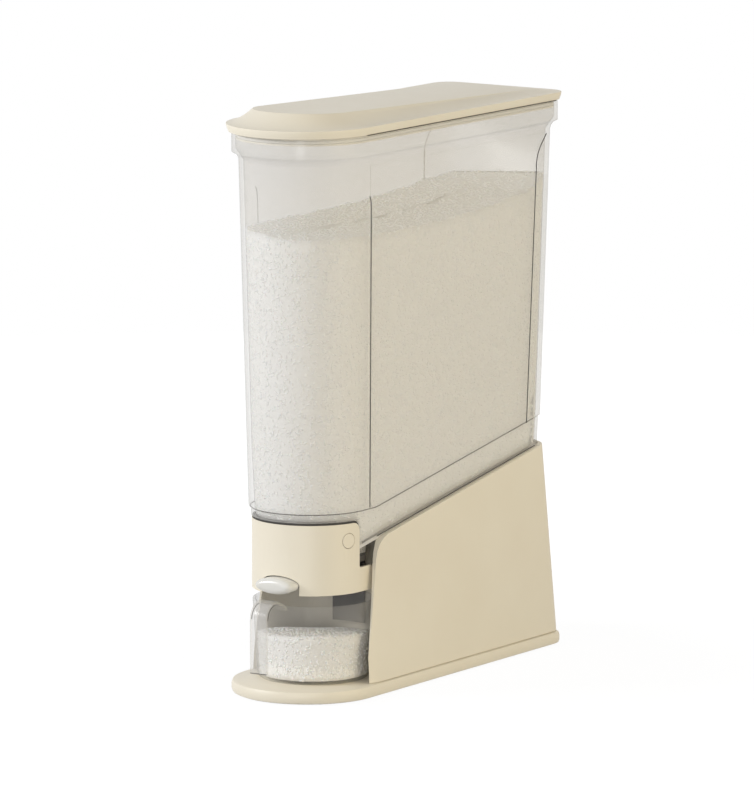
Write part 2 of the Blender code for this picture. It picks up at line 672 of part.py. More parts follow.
def make_hopper():
    wall = hopper_outline(HOPPER_COVE_BOTTOM)

    def rim_outline(part):
        return Outline(*(a + (b - a) * part for a, b in zip(wall, RIM)))

    rings = [d_ring(hopper_outline(LIP_BOTTOM), LIP_BOTTOM)]
    rings += [d_ring(rim_outline(part), HOPPER_COVE_BOTTOM + RIM_COVE_HEIGHT * rise)
              for part, rise in RIM_COVE]
    rings += [d_ring(RIM, RIM_TOP - RIM_EDGE), d_ring(inset(RIM, RIM_EDGE), RIM_TOP)]
    hopper = loft("hopper", rings)
    trim(hopper, (0, 0, STEP_HEIGHT), (0, 0, 1))
    trim_to_slope(hopper, SLOPE_START, BASE_TOP + STEP_RISE)
    join(hopper, hopper_band_solid("lower_band", 0.0, GAP))
    far = 2 * PLATE_HALF_WIDTH
    cut(hopper, box("front_undercut", (-far, -far, 0), (far, UNDERCUT_BACK, LIP_BOTTOM)))
    above_lip = LIP_BOTTOM + HOPPER_WALL
    join(hopper, loft("neck", [d_ring(NECK, NECK_BOTTOM), d_ring(NECK, above_lip + OVERLAP)]))
    join(hopper, key_box("locating_key", 0.0, KEY_DEPTH))
    inner = [d_ring(inset(band_outline(z), HOPPER_WALL), z) for z in (NECK_BOTTOM, STEP_HEIGHT)]
    inner += [d_ring(inset(hopper_outline(z), PANEL_DEPTH + HOPPER_WALL), z)
              for z in (base_top(HOPPER_BACK) + STEP_RISE, HOPPER_COVE_BOTTOM)]
    inner += [d_ring(inset(RIM, HOPPER_WALL), z) for z in (RIM_BOTTOM + HOPPER_WALL, RIM_TOP + OVERLAP)]
    cavity = loft("hopper_cavity", inner)
    trim_to_slope(cavity, SLOPE_START, BASE_TOP - SEAT_DEPTH + GAP + HOPPER_WALL)
    cut(cavity, box("shoulder", (-far, -far, 0), (far, UNDERCUT_BACK + HOPPER_WALL, above_lip)))
    bore = inset(NECK, HOPPER_WALL)
    cut(hopper, cavity,
        loft("neck_bore", [d_ring(bore, NECK_BOTTOM - OVERLAP), d_ring(bore, above_lip + 2 * OVERLAP)]),
        hopper_side_panels())
    for side in (-1, 1):
        cut(hopper, cylinder(f"neck_pin_hole_{side}", PIN_SHANK_RADIUS + GAP,
                             pin_line(side, bore.half_width - OVERLAP), pin_line(side, COLLAR_RADIUS)))
    return hopper


def lid_top(y):
    """Height of the lid's flat top, which falls towards the back."""
    return LID_SHOULDER + LID_FRONT_RISE - LID_FALL * (y - LID_CENTRE + LID.half_width - LID_BEVEL_WIDTH)


def lid_ring(outline, drop, part):
    """Ring part of the way up the lid's hollow bevel, lowered by a drop."""
    return d_ring(inset(outline, LID_BEVEL_WIDTH * part),
                  lambda y: LID_SHOULDER + (lid_top(y) - LID_SHOULDER) * part ** LID_BEVEL_POWER - drop)


def make_lid_cover():
    rings = [d_ring(inset(LID, LID_UNDERCUT), LID_BOTTOM),
             d_ring(inset(LID, LID_UNDERCUT / 3), LID_BOTTOM + LID_BAND / 2),
             d_ring(LID, LID_SHOULDER - LID_UNDERCUT / 2)]
    rings += [lid_ring(LID, 0.0, i / BEVEL_STEPS) for i in range(BEVEL_STEPS + 1)]
    cover = loft("lid_cover", rings)
    flange = inset(liner_skirt_outline(), -LINER_LAND - SLIDE_GAP)
    ledge = LID_BOTTOM + LINER_FLANGE + GAP
    recess = loft("liner_recess", [d_ring(flange, LID_BOTTOM - OVERLAP), d_ring(flange, ledge)])
    inside = inset(LID, LID_WALL + LINER_LAND + LID_UNDERCUT)
    hollow = loft("lid_hollow", [d_ring(inset(inside, LID_BEVEL_WIDTH / 2), ledge - OVERLAP)]
                  + [lid_ring(inside, LID_WALL, part) for part in (0.5, 1.0)])
    cut(cover, recess, hollow)
    return cover


def liner_skirt_outline():
    return inset(RIM, HOPPER_WALL + SLIDE_GAP)


def make_lid_liner():
    skirt = liner_skirt_outline()
    flange = inset(skirt, -LINER_LAND)
    top = LID_BOTTOM + LINER_FLANGE
    liner = loft("lid_liner", [d_ring(skirt, LID_BOTTOM - LINER_SKIRT), d_ring(skirt, LID_BOTTOM),
                               d_ring(flange, LID_BOTTOM), d_ring(flange, top)])
    pan = inset(skirt, LINER_WALL)
    cut(liner, loft("liner_pan", [d_ring(pan, LID_BOTTOM - LINER_SKIRT - OVERLAP), d_ring(pan, LID_BOTTOM)]))
    seal_top = LID_BOTTOM - SEAL_DROP
    cut(liner, band_ring("seal_groove", inset(skirt, -OVERLAP), inset(skirt, SEAL_WIDTH + GAP),
                         seal_top - SEAL_HEIGHT - GAP, seal_top + GAP))
    return liner


def make_lid_seal():
    skirt = liner_skirt_outline()
    top = LID_BOTTOM - SEAL_DROP
    return band_ring("lid_seal", skirt, inset(skirt, SEAL_WIDTH), top - SEAL_HEIGHT, top)


def collar_wall(name, radius, thickness, back, low, high):
    """Horseshoe wall round the front of the neck."""
    centre = (0, COLLAR_CENTRE)
    inner = radius - thickness
    outline = [(-radius, back)] + arc(centre, radius, 180, 360, ARC_STEPS) + [(radius, back), (inner, back)]
    outline += arc(centre, inner, 360, 180, ARC_STEPS) + [(-inner, back)]
    return slab(name, outline, low, high)


def make_collar():
    collar = collar_wall("collar", COLLAR_RADIUS, COLLAR_WALL, COLLAR_TAIL_BACK, COLLAR_BOTTOM, COLLAR_TOP)
    ledge_top = CHUTE_TOP - CHUTE_FLANGE - GAP
    join(collar, collar_wall("chute_ledge", COLLAR_RADIUS - COLLAR_WALL / 2, COLLAR_WALL / 2 + COLLAR_LEDGE,
                             UNDERCUT_BACK + OVERLAP, ledge_top - COLLAR_LEDGE_HEIGHT, ledge_top))
    step = COLLAR_BOTTOM + COLLAR_TAIL_HEIGHT
    front = -2 * COLLAR_RADIUS
    profile = round_corners([
        (front, COLLAR_BOTTOM - OVERLAP, 0), (COLLAR_TAIL_BACK + OVERLAP, COLLAR_BOTTOM - OVERLAP, 0),
        (COLLAR_TAIL_BACK + OVERLAP, step, 0), (UNDERCUT_BACK, step, COLLAR_CORNER / 4),
        (UNDERCUT_BACK, COLLAR_TOP, COLLAR_CORNER), (front, COLLAR_TOP, 0)])
    keep(collar, slab("collar_profile", profile, front, -front, 'X'))
    notch_half = BUTTON_HALF_WIDTH + NOTCH_CLEARANCE
    notch_rise = BUTTON_HALF_HEIGHT + NOTCH_CLEARANCE
    arch = [(notch_half * math.cos(a), BUTTON_MIDDLE + notch_rise * math.sin(a))
            for a in (math.pi * i / ARC_STEPS for i in range(ARC_STEPS + 1))]
    arch += [(-notch_half, COLLAR_BOTTOM - OVERLAP), (notch_half, COLLAR_BOTTOM - OVERLAP)]
    cut(collar, slab("button_notch", arch, front, COLLAR_CENTRE, 'Y'))
    for side in (-1, 1):
        cut(collar, cylinder(f"collar_pin_hole_{side}", PIN_HEAD_RADIUS + GAP,
                             pin_line(side, NECK.half_width - OVERLAP),
                             pin_line(side, COLLAR_RADIUS + PIN_HEAD_RADIUS)))
    return collar


def make_collar_pins():
    pins = []
    head_foot = NECK.half_width + SLIDE_GAP / 2
    for name, side in (("collar_pin_left", -1), ("collar_pin_right", 1)):
        pin = cylinder(name, PIN_HEAD_RADIUS, pin_line(side, head_foot), pin_line(side, COLLAR_RADIUS))
        tip = NECK.half_width - HOPPER_WALL + GAP
        join(pin, cylinder(f"{name}_shank", PIN_SHANK_RADIUS, pin_line(side, tip),
                           pin_line(side, head_foot + OVERLAP)))
        pins.append(pin)
    return pins


def make_neck_gasket():
    low = GASKET_TOP - GASKET_THICKNESS
    return band_ring("neck_gasket", NECK, inset(NECK, HOPPER_WALL), low, GASKET_TOP)


def funnel_ring(outline, half_width, front, back, height):
    """Rectangle at the funnel's foot with a point for each point of a D outline above it."""
    middle = Vector((0, (front + back) / 2))
    reach = Vector((half_width, (back - front) / 2))
    ring = []
    for x, y, _ in d_ring(outline, 0):
        ray = Vector((x, y)) - Vector((0, outline.centre))
        scale = min(size / max(abs(part), WELD) for size, part in zip(reach, ray))
        ring.append(middle + ray * scale)
    for x, y in ((-half_width, front), (half_width, front), (half_width, back), (-half_width, back)):
        corner = Vector((x, y))
        nearest = min(range(len(ring)), key=lambda i: (ring[i] - corner).length)
        ring[nearest] = corner
    return [(*point, height) for point in ring]


def spring_grooves(name):
    """Pair of round grooves that the return springs lie in."""
    groove = cylinder(name, SPRING_RADIUS + SPRING_WIRE + GAP, (SPRING_X, GATE_BACK, GATE_MIDDLE),
                      (SPRING_X, SPRING_BACK, GATE_MIDDLE))
    mirror = groove.modifiers.new("both sides", 'MIRROR')
    mirror.merge_threshold = WELD
    return groove


def make_outlet_chute():
    flange_bottom = CHUTE_TOP - CHUTE_FLANGE
    chute = loft("outlet_chute", [d_ring(NECK, flange_bottom), d_ring(NECK, CHUTE_TOP)])
    throat = inset(NECK, COLLAR_LEDGE + SLIDE_GAP)
    join(chute, loft("funnel", [
        funnel_ring(throat, FUNNEL_HALF_WIDTH, FUNNEL_FRONT, FUNNEL_BACK, CHUTE_BOTTOM),
        d_ring(throat, flange_bottom), d_ring(throat, flange_bottom + OVERLAP)]))
    arm_top = CHUTE_BOTTOM + SPRING_ROOF
    join(chute, box("spring_roof", (-FUNNEL_HALF_WIDTH, OUTLET_BACK + GATE_WEB, CHUTE_BOTTOM),
                    (FUNNEL_HALF_WIDTH, CHUTE_BACK, arm_top)))
    tongue_inner = TONGUE_CURVE - TONGUE_THICKNESS
    bend = (0, CUP_CENTRE + CUP_RADIUS + TONGUE_CLEARANCE - tongue_inner)
    spread = math.degrees(math.asin(TONGUE_HALF_WIDTH / TONGUE_CURVE))
    outline = arc(bend, TONGUE_CURVE, 90 - spread, 90 + spread, 2 * CORNER_STEPS)
    outline += arc(bend, tongue_inner, 90 + spread, 90 - spread, 2 * CORNER_STEPS)
    join(chute, slab("tongue", outline, arm_top - TONGUE_LENGTH, arm_top))
    tongue_middle = TONGUE_CURVE - TONGUE_THICKNESS / 2
    reach = math.degrees(math.asin(TONGUE_ARM_HALF_WIDTH / tongue_middle))
    arm = arc(bend, tongue_middle, 90 - reach, 90 + reach, 2 * CORNER_STEPS)
    arm += [(x * TONGUE_ARM_HALF_WIDTH, CHUTE_BACK - OVERLAP) for x in (-1, 1)]
    join(chute, slab("tongue_arm", arm, arm_top - TONGUE_ARM, arm_top - GAP))
    mouth = inset(NECK, FUNNEL_MOUTH_INSET)
    foot = (OUTLET_HALF_WIDTH, OUTLET_FRONT, OUTLET_BACK)
    cut(chute, loft("funnel_bore", [
        funnel_ring(mouth, *foot, CHUTE_BOTTOM - OVERLAP),
        funnel_ring(mouth, *foot, CHUTE_BOTTOM + FUNNEL_TOE),
        d_ring(mouth, CHUTE_TOP), d_ring(mouth, CHUTE_TOP + OVERLAP)]))
    cut(chute, spring_grooves("chute_grooves"))
    for i, (x, y) in enumerate(CHUTE_SCREW_SPOTS):
        screw_top = RETAINER_BOTTOM + CHUTE_SCREW_LENGTH + GAP
        cut(chute, cylinder(f"chute_pilot_{i}", CHUTE_SCREW_RADIUS + GAP,
                            (x, y, CHUTE_BOTTOM - OVERLAP), (x, y, screw_top)))
    return chute


def make_gate_retainer():
    """Plate under the gate with side rails, a spring wall at the back and the spout."""
    side = FUNNEL_HALF_WIDTH
    retainer = box("gate_retainer", (-side, FUNNEL_FRONT, RETAINER_BOTTOM),
                   (side, CHUTE_BACK, CHUTE_BOTTOM - GAP))
    channel = GATE_HALF_WIDTH + SLIDE_GAP
    cut(retainer, box("gate_channel", (-channel, FUNNEL_FRONT - OVERLAP, RETAINER_TOP),
                      (channel, SPRING_BACK, CHUTE_TOP)))
    ear = GATE_HALF_WIDTH + GATE_EAR + SLIDE_GAP
    cut(retainer, box("ear_slots", (-ear, GATE_BACK - GATE_EAR_LENGTH - GAP, RETAINER_TOP),
                      (ear, GATE_BACK + STROKE + SLIDE_GAP, CHUTE_TOP)))
    wall = SPOUT_WALL
    spout_low = RETAINER_BOTTOM - SPOUT_LENGTH
    join(retainer, box("spout", (-OUTLET_HALF_WIDTH - wall, OUTLET_FRONT - wall, spout_low),
                       (OUTLET_HALF_WIDTH + wall, OUTLET_BACK + wall, RETAINER_BOTTOM + OVERLAP)))
    cut(retainer, box("spout_bore", (-OUTLET_HALF_WIDTH, OUTLET_FRONT, spout_low - OVERLAP),
                      (OUTLET_HALF_WIDTH, OUTLET_BACK, RETAINER_TOP + OVERLAP)))
    cut(retainer, spring_grooves("retainer_grooves"))
    for i, (x, y) in enumerate(CHUTE_SCREW_SPOTS):
        below = RETAINER_BOTTOM - OVERLAP
        cut(retainer,
            cylinder(f"retainer_bore_{i}", CHUTE_SCREW_RADIUS + GAP, (x, y, below), (x, y, CHUTE_BOTTOM)),
            cylinder(f"retainer_sink_{i}", CHUTE_SCREW_HEAD_RADIUS + GAP / 2, (x, y, below),
                     (x, y, RETAINER_BOTTOM + CHUTE_SCREW_HEAD + GAP)))
    return retainer


def make_chute_screws():
    return [stud(f"chute_screw_{i + 1}", spot, RETAINER_BOTTOM, CHUTE_SCREW_HEAD_RADIUS, CHUTE_SCREW_HEAD,
                 CHUTE_SCREW_RADIUS, CHUTE_SCREW_LENGTH) for i, spot in enumerate(CHUTE_SCREW_SPOTS)]


def make_gate():
    """Flat shutter: a window ahead of the outlet, stop ears at the back and a stem to the button."""
    ear = GATE_HALF_WIDTH + GATE_EAR
    stem_end = BUTTON_FRONT + BUTTON_DEPTH - STEM_SEAT
    gate = box("gate", (-GATE_HALF_WIDTH, GATE_FRONT, GATE_BOTTOM), (GATE_HALF_WIDTH, GATE_BACK, GATE_TOP))
    join(gate, box("gate_ears", (-ear, GATE_BACK - GATE_EAR_LENGTH, GATE_BOTTOM), (ear, GATE_BACK, GATE_TOP)),
         box("gate_stem", (-STEM_HALF_WIDTH, stem_end, GATE_BOTTOM),
             (STEM_HALF_WIDTH, GATE_FRONT + OVERLAP, GATE_TOP)))
    cut(gate, box("gate_window", (-OUTLET_HALF_WIDTH, WINDOW_FRONT, GATE_BOTTOM - OVERLAP),
                  (OUTLET_HALF_WIDTH, WINDOW_BACK, GATE_TOP + OVERLAP)))
    return gate


def make_dispense_button():
    """Domed oval thumb pad, slotted behind for the gate's stem."""
    round_off = BUTTON_HALF_HEIGHT * BUTTON_DOME_SHARE
    stations = [(BUTTON_DOME * back, round_off * inward) for back, inward in quarter_round(DOME_STEPS)]
    stations.append((BUTTON_DEPTH, 0.0))
    rings = []
    for depth, shrink in stations:
        rings.append([((BUTTON_HALF_WIDTH - shrink) * math.cos(a), BUTTON_FRONT + depth,
                       BUTTON_MIDDLE + (BUTTON_HALF_HEIGHT - shrink) * math.sin(a))
                      for a in (2 * math.pi * i / ARC_STEPS for i in range(ARC_STEPS))])
    button = loft("dispense_button", rings)
    back = BUTTON_FRONT + BUTTON_DEPTH
    cut(button, box("stem_slot", (-STEM_HALF_WIDTH - GAP, back - STEM_SEAT - GAP, GATE_BOTTOM - GAP),
                    (STEM_HALF_WIDTH + GAP, back + OVERLAP, GATE_TOP + GAP)))
    return button


def make_return_springs():
    """Pair of coil springs between the gate's back edge and the retainer's wall."""
    springs = []
    start = GATE_BACK + GAP + SPRING_WIRE
    length = SPRING_BACK - GAP - SPRING_WIRE - start
    count = SPRING_TURNS * SPRING_POINTS
    print(f"spring gap between turns: {(length / SPRING_TURNS - 2 * SPRING_WIRE) * 1000:.2f} mm")
    for name, side in (("return_spring_left", -1), ("return_spring_right", 1)):
        curve = bpy.data.curves.new(name, 'CURVE')
        curve.dimensions = '3D'
        curve.bevel_depth = SPRING_WIRE
        curve.bevel_resolution = 1
        curve.use_fill_caps = True
        spline = curve.splines.new('POLY')
        spline.points.add(count)
        for i, point in enumerate(spline.points):
            angle = 2 * math.pi * i / SPRING_POINTS
            point.co = (side * SPRING_X + SPRING_RADIUS * math.cos(angle), start + length * i / count,
                        GATE_MIDDLE + SPRING_RADIUS * math.sin(angle), 1)
        springs.append(add_object(name, mesh_from_curve(name, curve)))
    return springs


def strap_outline():
    """Side view of the hooked handle: from the rim, over the bend and down to a rounded free end."""
    centre = (STRAP_CENTRE, CUP_RIM + STRAP_ABOVE_RIM - STRAP_BEND - STRAP_THICKNESS / 2)
    outer, inner = STRAP_BEND + STRAP_THICKNESS / 2, STRAP_BEND - STRAP_THICKNESS / 2
    start = math.radians(STRAP_START)
    root = CUP_CENTRE - CUP_RADIUS + STRAP_SEAT

    def root_point(radius):
        """Where the tangent to the bend meets the cup's wall."""
        run = root - centre[0] - radius * math.cos(start)
        return (root, centre[1] + radius * math.sin(start) - run / math.tan(start))

    foot = PLATE_TOP + STRAP_FOOT + STRAP_THICKNESS / 2
    tip = arc((centre[0] - STRAP_BEND, foot), STRAP_THICKNESS / 2, 180, 360, CORNER_STEPS)
    return ([root_point(outer)] + arc(centre, outer, STRAP_START, 180, 2 * CORNER_STEPS) + tip
            + arc(centre, inner, 180, STRAP_START, 2 * CORNER_STEPS) + [root_point(inner)])


def make_measuring_cup():
    foot_radius = CUP_RADIUS - CUP_LEAN
    fillet_at = (foot_radius - CUP_FOOT_FILLET, CUP_BOTTOM + CUP_FOOT_FILLET)
    fillet = arc(fillet_at, CUP_FOOT_FILLET, 0, -90, CORNER_STEPS)
    bowl = arc(fillet_at, CUP_FOOT_FILLET - CUP_WALL, -90, 0, CORNER_STEPS)
    floor = CUP_BOTTOM + CUP_WALL
    lip = CUP_WALL / 2
    profile = [(0, floor)] + bowl + arc((CUP_RADIUS - lip, CUP_RIM - lip), lip, 180, 0, CORNER_STEPS)
    profile += fillet + [(0, CUP_BOTTOM)]
    cup = turned("measuring_cup", profile, (0, CUP_CENTRE, 0), CUP_SIDES)
    strap = slab("handle_strap", strap_outline(), -STRAP_HALF_WIDTH, STRAP_HALF_WIDTH, 'X')
    soften(strap, STRAP_EDGE)
    join(cup, strap)
    return cup


def srgb(*channels):
    """Linear colour from 0 to 255 screen values."""
    return [(c / 255 / 12.92 if c <= 10 else ((c / 255 + 0.055) / 1.055) ** 2.4) for c in channels] + [1.0]


def material(name, colour, roughness, metallic=0.0, transmission=0.0):
    made = bpy.data.materials.new(name)
    made.use_nodes = True
    made.diffuse_color = colour
    shader = made.node_tree.nodes["Principled BSDF"]
    shader.inputs["Base Color"].default_value = colour
    shader.inputs["Roughness"].default_value = roughness
    shader.inputs["Metallic"].default_value = metallic
    shader.inputs["Transmission Weight"].default_value = transmission
    return made


def joint_empty(name, location, parent):
    """Empty that a moving group hangs from, on its joint's axis."""
    empty = bpy.data.objects.new(name, None)
    PARTS.objects.link(empty)
    empty.location = location
    bpy.context.view_layer.update()
    attach(empty, parent)
    return empty


def attach(item, parent):
    """Parents an item and leaves it where it is."""
    bpy.context.view_layer.update()
    item.parent = parent
    item.matrix_parent_inverse = parent.matrix_world.inverted()


def finish(items, finish_material, parent):
    for item in items:
        item.data.materials.append(finish_material)
        attach(item, parent)


def build():
    cream = material("cream_plastic", srgb(226, 217, 200), 0.38)
    clear = material("clear_plastic", srgb(236, 236, 232), 0.08, transmission=1.0)
    dark = material("dark_plastic", srgb(72, 72, 74), 0.45)
    pale = material("pale_gloss_plastic", srgb(226, 226, 222), 0.2)
    silicone = material("silicone", srgb(232, 230, 224), 0.6)
    rubber = material("rubber", srgb(70, 68, 66), 0.8)
    steel = material("steel", srgb(190, 190, 192), 0.3, metallic=1.0)

    root = bpy.data.objects.new("dispenser", None)
    PARTS.objects.link(root)
    middle = (LID_CENTRE + LID_BACK) / 2
    hopper_lift = joint_empty("hopper_lift", (0, middle, base_top(middle)), root)
    lid_lift = joint_empty("lid_lift", (0, middle, LID_BOTTOM), hopper_lift)
    gate_press = joint_empty("gate_press", (0, BUTTON_FRONT, GATE_MIDDLE), hopper_lift)
    cup_slide = joint_empty("cup_slide", (0, CUP_CENTRE, CUP_BOTTOM), root)

    finish([make_foot_plate(), make_base_housing()], cream, root)
    finish(make_feet(), rubber, root)
    finish(make_housing_screws(), steel, root)
    finish([make_hopper()], clear, hopper_lift)
    finish([make_collar(), *make_collar_pins()], cream, hopper_lift)
    finish([make_neck_gasket()], silicone, hopper_lift)
    finish([make_outlet_chute(), make_gate_retainer()], dark, hopper_lift)
    finish(make_chute_screws(), steel, hopper_lift)
    finish([make_gate()], dark, gate_press)
    finish([make_dispense_button()], pale, gate_press)
    finish(make_return_springs(), steel, hopper_lift)
    finish([make_lid_cover(), make_lid_liner()], cream, lid_lift)
    finish([make_lid_seal()], silicone, lid_lift)
    finish([make_measuring_cup()], clear, cup_slide)
    for tool in list(CUTTERS.objects):
        attach(tool, root)

    front, back = STRAP_FRONT, max(LID_BACK, PLATE_BACK)
    root.location.y = -(front + back) / 2
    bpy.context.view_layer.update()


build()
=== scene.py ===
"""Looks for the slim grain dispenser: cream moulded plastic, a clear hopper and cup, and the rice in them.

Everything is in metres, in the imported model's frame: +Z up, -Y towards the user, the floor at z = 0.
"""
import math

import bpy
import numpy as np
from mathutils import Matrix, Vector


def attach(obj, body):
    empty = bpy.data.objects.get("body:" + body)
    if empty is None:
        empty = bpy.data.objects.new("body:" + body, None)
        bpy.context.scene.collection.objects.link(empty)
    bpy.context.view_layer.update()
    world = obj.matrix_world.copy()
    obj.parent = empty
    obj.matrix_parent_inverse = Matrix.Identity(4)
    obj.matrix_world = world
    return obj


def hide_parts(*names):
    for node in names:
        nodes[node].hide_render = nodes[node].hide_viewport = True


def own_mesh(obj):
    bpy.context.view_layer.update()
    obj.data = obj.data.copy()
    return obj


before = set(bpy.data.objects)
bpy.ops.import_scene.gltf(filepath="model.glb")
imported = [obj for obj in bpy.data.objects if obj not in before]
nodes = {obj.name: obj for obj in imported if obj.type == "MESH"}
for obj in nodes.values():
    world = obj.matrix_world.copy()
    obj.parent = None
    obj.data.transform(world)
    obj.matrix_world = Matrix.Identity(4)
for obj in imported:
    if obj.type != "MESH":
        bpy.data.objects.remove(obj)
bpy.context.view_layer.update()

# Camera, matched to the photograph: 754 x 800, so the longer side is the height
CAMERA_AT = (2.9879, -4.5030, 1.0537)
CAMERA_LOOKS_AT = (0.0222, -0.0426, 0.1996)
CAMERA_LENS, CAMERA_SENSOR = 352.1, 36.0    # mm

# Studio: even light from all round, a key from the front left, a low front light
# and a warm fill from the right
AROUND = 0.45
KEY_AT, KEY_SIZE, KEY_WATTS = (-1.45, -1.55, 1.0), 0.6, 27.5
FRONT_AT, FRONT_SIZE, FRONT_WATTS = (0.95, -2.15, 0.27), 0.5, 8.0
FILL_AT, FILL_SIZE, FILL_WATTS = (1.9, 0.0, 0.7), 1.4, 14.0
FILL_COLOUR = (1.0, 0.84, 0.50)
LIT_POINT = (0.0, 0.0, 0.2)
FLOOR_RADIUS = 1.6
FLOOR_SHADE = 0.6           # how much light the floor throws back
FLOOR_GLOW = 1.08           # what the camera sees of it is white
SHADOW_SHARE = 0.12         # how much of the shadow on it is seen
SHADOW_FADES = (0.22, 0.6)  # distances from the middle between which it fades out

# Smooth shading and softened edges of moulded pieces
WELD = 1e-5
SMOOTH_ANGLE = 30
FLAT_ANGLE = 0.4
EDGE_RADIUS = 0.0004
EDGE_SEGMENTS = 2

# Inside of the hopper: the wall leans out evenly up to its top, and the lower band stands in a little more
HOPPER_TOP = 0.372
HALF_TOP, HALF_DRAFT = 0.0444, 0.0185
CENTRE_TOP, CENTRE_DRIFT = -0.0948, 0.0141
BACK_TOP, BACK_DRAFT = 0.1471, 0.0302
CORNER = 0.0107
BAND_INSET = 0.0008
BAND_LOW, BAND_HIGH = 0.131, 0.170
SHOULDER_BACK = -0.0900     # the floor ahead of this is a level shoulder over the neck's collar
SHOULDER_HEIGHT = 0.1253
FLOOR_HEIGHT = 0.1074       # of the sloped floor where it starts
FLOOR_SLOPE = 0.176

# Outside of the hopper: the step over its lower band, and the recessed panel on each side, whose edges get
# dark lines of painted shade
STEP_HALF = 0.0421
STEP_CENTRE = -0.0914
STEP_LEVEL = 0.1307         # round the front
STEP_AT_ZERO = 0.1436       # of its sloped part, at y = 0
STEP_BACK = 0.1262
PANEL_HALF = 0.0434         # at the step's level; it leans out as the wall does
PANEL_FRONT = ((-0.0893, 0.3490), (-0.0873, 0.3450), (-0.0833, 0.1320))
PANEL_BACK = ((0.1351, 0.3690), (0.1231, 0.3560), (0.1160, 0.1640))
LINE_RADIUS = 0.00032
LINE_BEND = 0.008
TUBE_SIDES = 6

# Seams: dark lines of painted shade in the gaps under the lid's long edges, and low on the hopper's sides,
# where it sits in the base
LID_SEAM_HALF, LID_SEAM_HEIGHT = 0.0515, 0.3921
LID_SEAM_FRONT, LID_SEAM_BACK = -0.0980, 0.1420
SEAT_SEAM_HALF, SEAT_SEAM_AT_ZERO = 0.0419, 0.1229
SEAT_SEAM_FRONT, SEAT_SEAM_BACK = -0.0720, 0.1300

# Handle of the cup: dark lines of painted shade inside its bend, and across its foot
HANDLE_HALF = 0.0066
HANDLE_CENTRE = (-0.1447, 0.0596)
HANDLE_BEND, HANDLE_FROM = 0.0098, 95   # radius, and degrees where the shadowed part starts
HANDLE_STEPS = 12
HANDLE_FOOT = (-0.1564, 0.0224)

# Return springs, which shorten by the gate's stroke
SPRING_X, SPRING_Z = 0.0130, 0.08165
SPRING_FRONT, SPRING_BACK = -0.08232, -0.06627  # middle of the wire at each end
SPRING_RADIUS, SPRING_WIRE = 0.0021, 0.0004
SPRING_TURNS, SPRING_POINTS = 7, 16

# Dark ring of painted shade in the gap between the hopper's lip and the collar
GAP_SHADE_OUTER, GAP_SHADE_INNER = 0.0407, 0.0388
GAP_SHADE_CENTRE = -0.0913
GAP_SHADE_LOW, GAP_SHADE_HIGH = 0.1231, 0.1245
GAP_SHADE_BACK = -0.0927     # it turns down round the collar's corner and ends here
GAP_SHADE_CORNER = 0.006
GAP_SHADE_STEPS = 120

# Clear plastic: how milky it is face on and at a glancing angle, and how much light each wall face lets by
HOPPER_HAZE, CUP_HAZE = 0.25, 0.07
EDGE_HAZE = 0.35
CLEAR_FALL = 0.2
CLEAR_TINT, CLEAR_EDGE_TINT = (0.96, 0.96, 0.96, 1.0), (0.60, 0.60, 0.59, 1.0)
DARKENS_FROM = 0.35         # glancing share
FLOOR_ZONE, FLOOR_HAZE = (0.1214, 0.0018), 0.75     # the hopper's floor and the cup's handle are milkier:
HANDLE_ZONE, HANDLE_HAZE = (-0.1450, 0.0138), 0.30  # the middle and half width of each zone, and its haze

# Rice in the hopper, and its grains
RICE_CLEARANCE = 0.0009     # from the walls to the heap's body
FRONT_STEPS, SIDE_STEPS, CORNER_STEPS = 48, 40, 6   # points round the heap
RISE_STEPS, TOP_STEPS = 24, 14  # rings up its wall, and in over its top
SHOULDER_EDGE = 0.0002      # either side of the shoulder's back
FIT_ROUNDS = 4              # to settle a point's height, which its wall depends on
RICE_LEVEL = 0.3225
RICE_RISE = 0.0115          # towards the back
RICE_RISE_FROM, RICE_RISE_TO = -0.020, 0.147
RICE_HEAP = 0.0045          # and more against the back wall
RICE_HEAP_FROM = 0.118
RICE_TILT, RICE_TILT_BACK = -0.045, 0.070   # up to the left, and to the right at the back
RICE_RIPPLE = 0.0006
GRAIN_LENGTH = 0.0034
GRAIN_WIDTH = 0.0013
GRAIN_SIDES = 5
GRAIN_FLATNESS = 0.42       # half its thickness, as a share of its width
GRAIN_VARIES = (0.85, 1.15)
GRAIN_LEAN = 0.06
GRAINS_PER_CM2 = 12.0
CM2_PER_M2 = 1e4
RANDOM_SEED = 7

# Inside of the cup, and its rice
CUP_FLOOR = 0.0123
CUP_RADIUS_LOW, CUP_RADIUS_HIGH = 0.0375, 0.0403
CUP_RIM = 0.0660
CUP_CENTRE_Y = -0.0886
CUP_RICE_CLEARANCE = 0.0003
CUP_RICE_TOP = 0.0412
CUP_RICE_MOUND = 0.0015
CUP_RICE_TILT = (0.055, -0.083)     # up to the right and to the front
CUP_STEPS, CUP_RISE_STEPS, CUP_TOP_STEPS = 72, 8, 8


def linear(*channels):
    """Linear colour from 0 to 255 screen values."""
    return [c / 255 / 12.92 if c <= 10 else ((c / 255 + 0.055) / 1.055) ** 2.4 for c in channels] + [1.0]


def mix(a, b, t):
    return a + (b - a) * t


def within(value, low, high):
    """How far a value lies from low to high, held to 0 and 1."""
    return min(max((value - low) / (high - low), 0.0), 1.0)


def add(name, vertices, faces, material, body, slot):
    """New smooth-shaded piece that rides on a body."""
    mesh = bpy.data.meshes.new(name)
    mesh.from_pydata(vertices, [], faces)
    mesh.update()
    mesh.shade_smooth()
    mesh.materials.append(material)
    piece = bpy.data.objects.new(name, mesh)
    bpy.context.scene.collection.objects.link(piece)
    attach(piece, body)
    return piece


def largest(tree, first, second):
    made = tree.nodes.new("ShaderNodeMath")
    made.operation = 'MAXIMUM'
    tree.links.new(first, made.inputs[0])
    tree.links.new(second, made.inputs[1])
    return made.outputs[0]


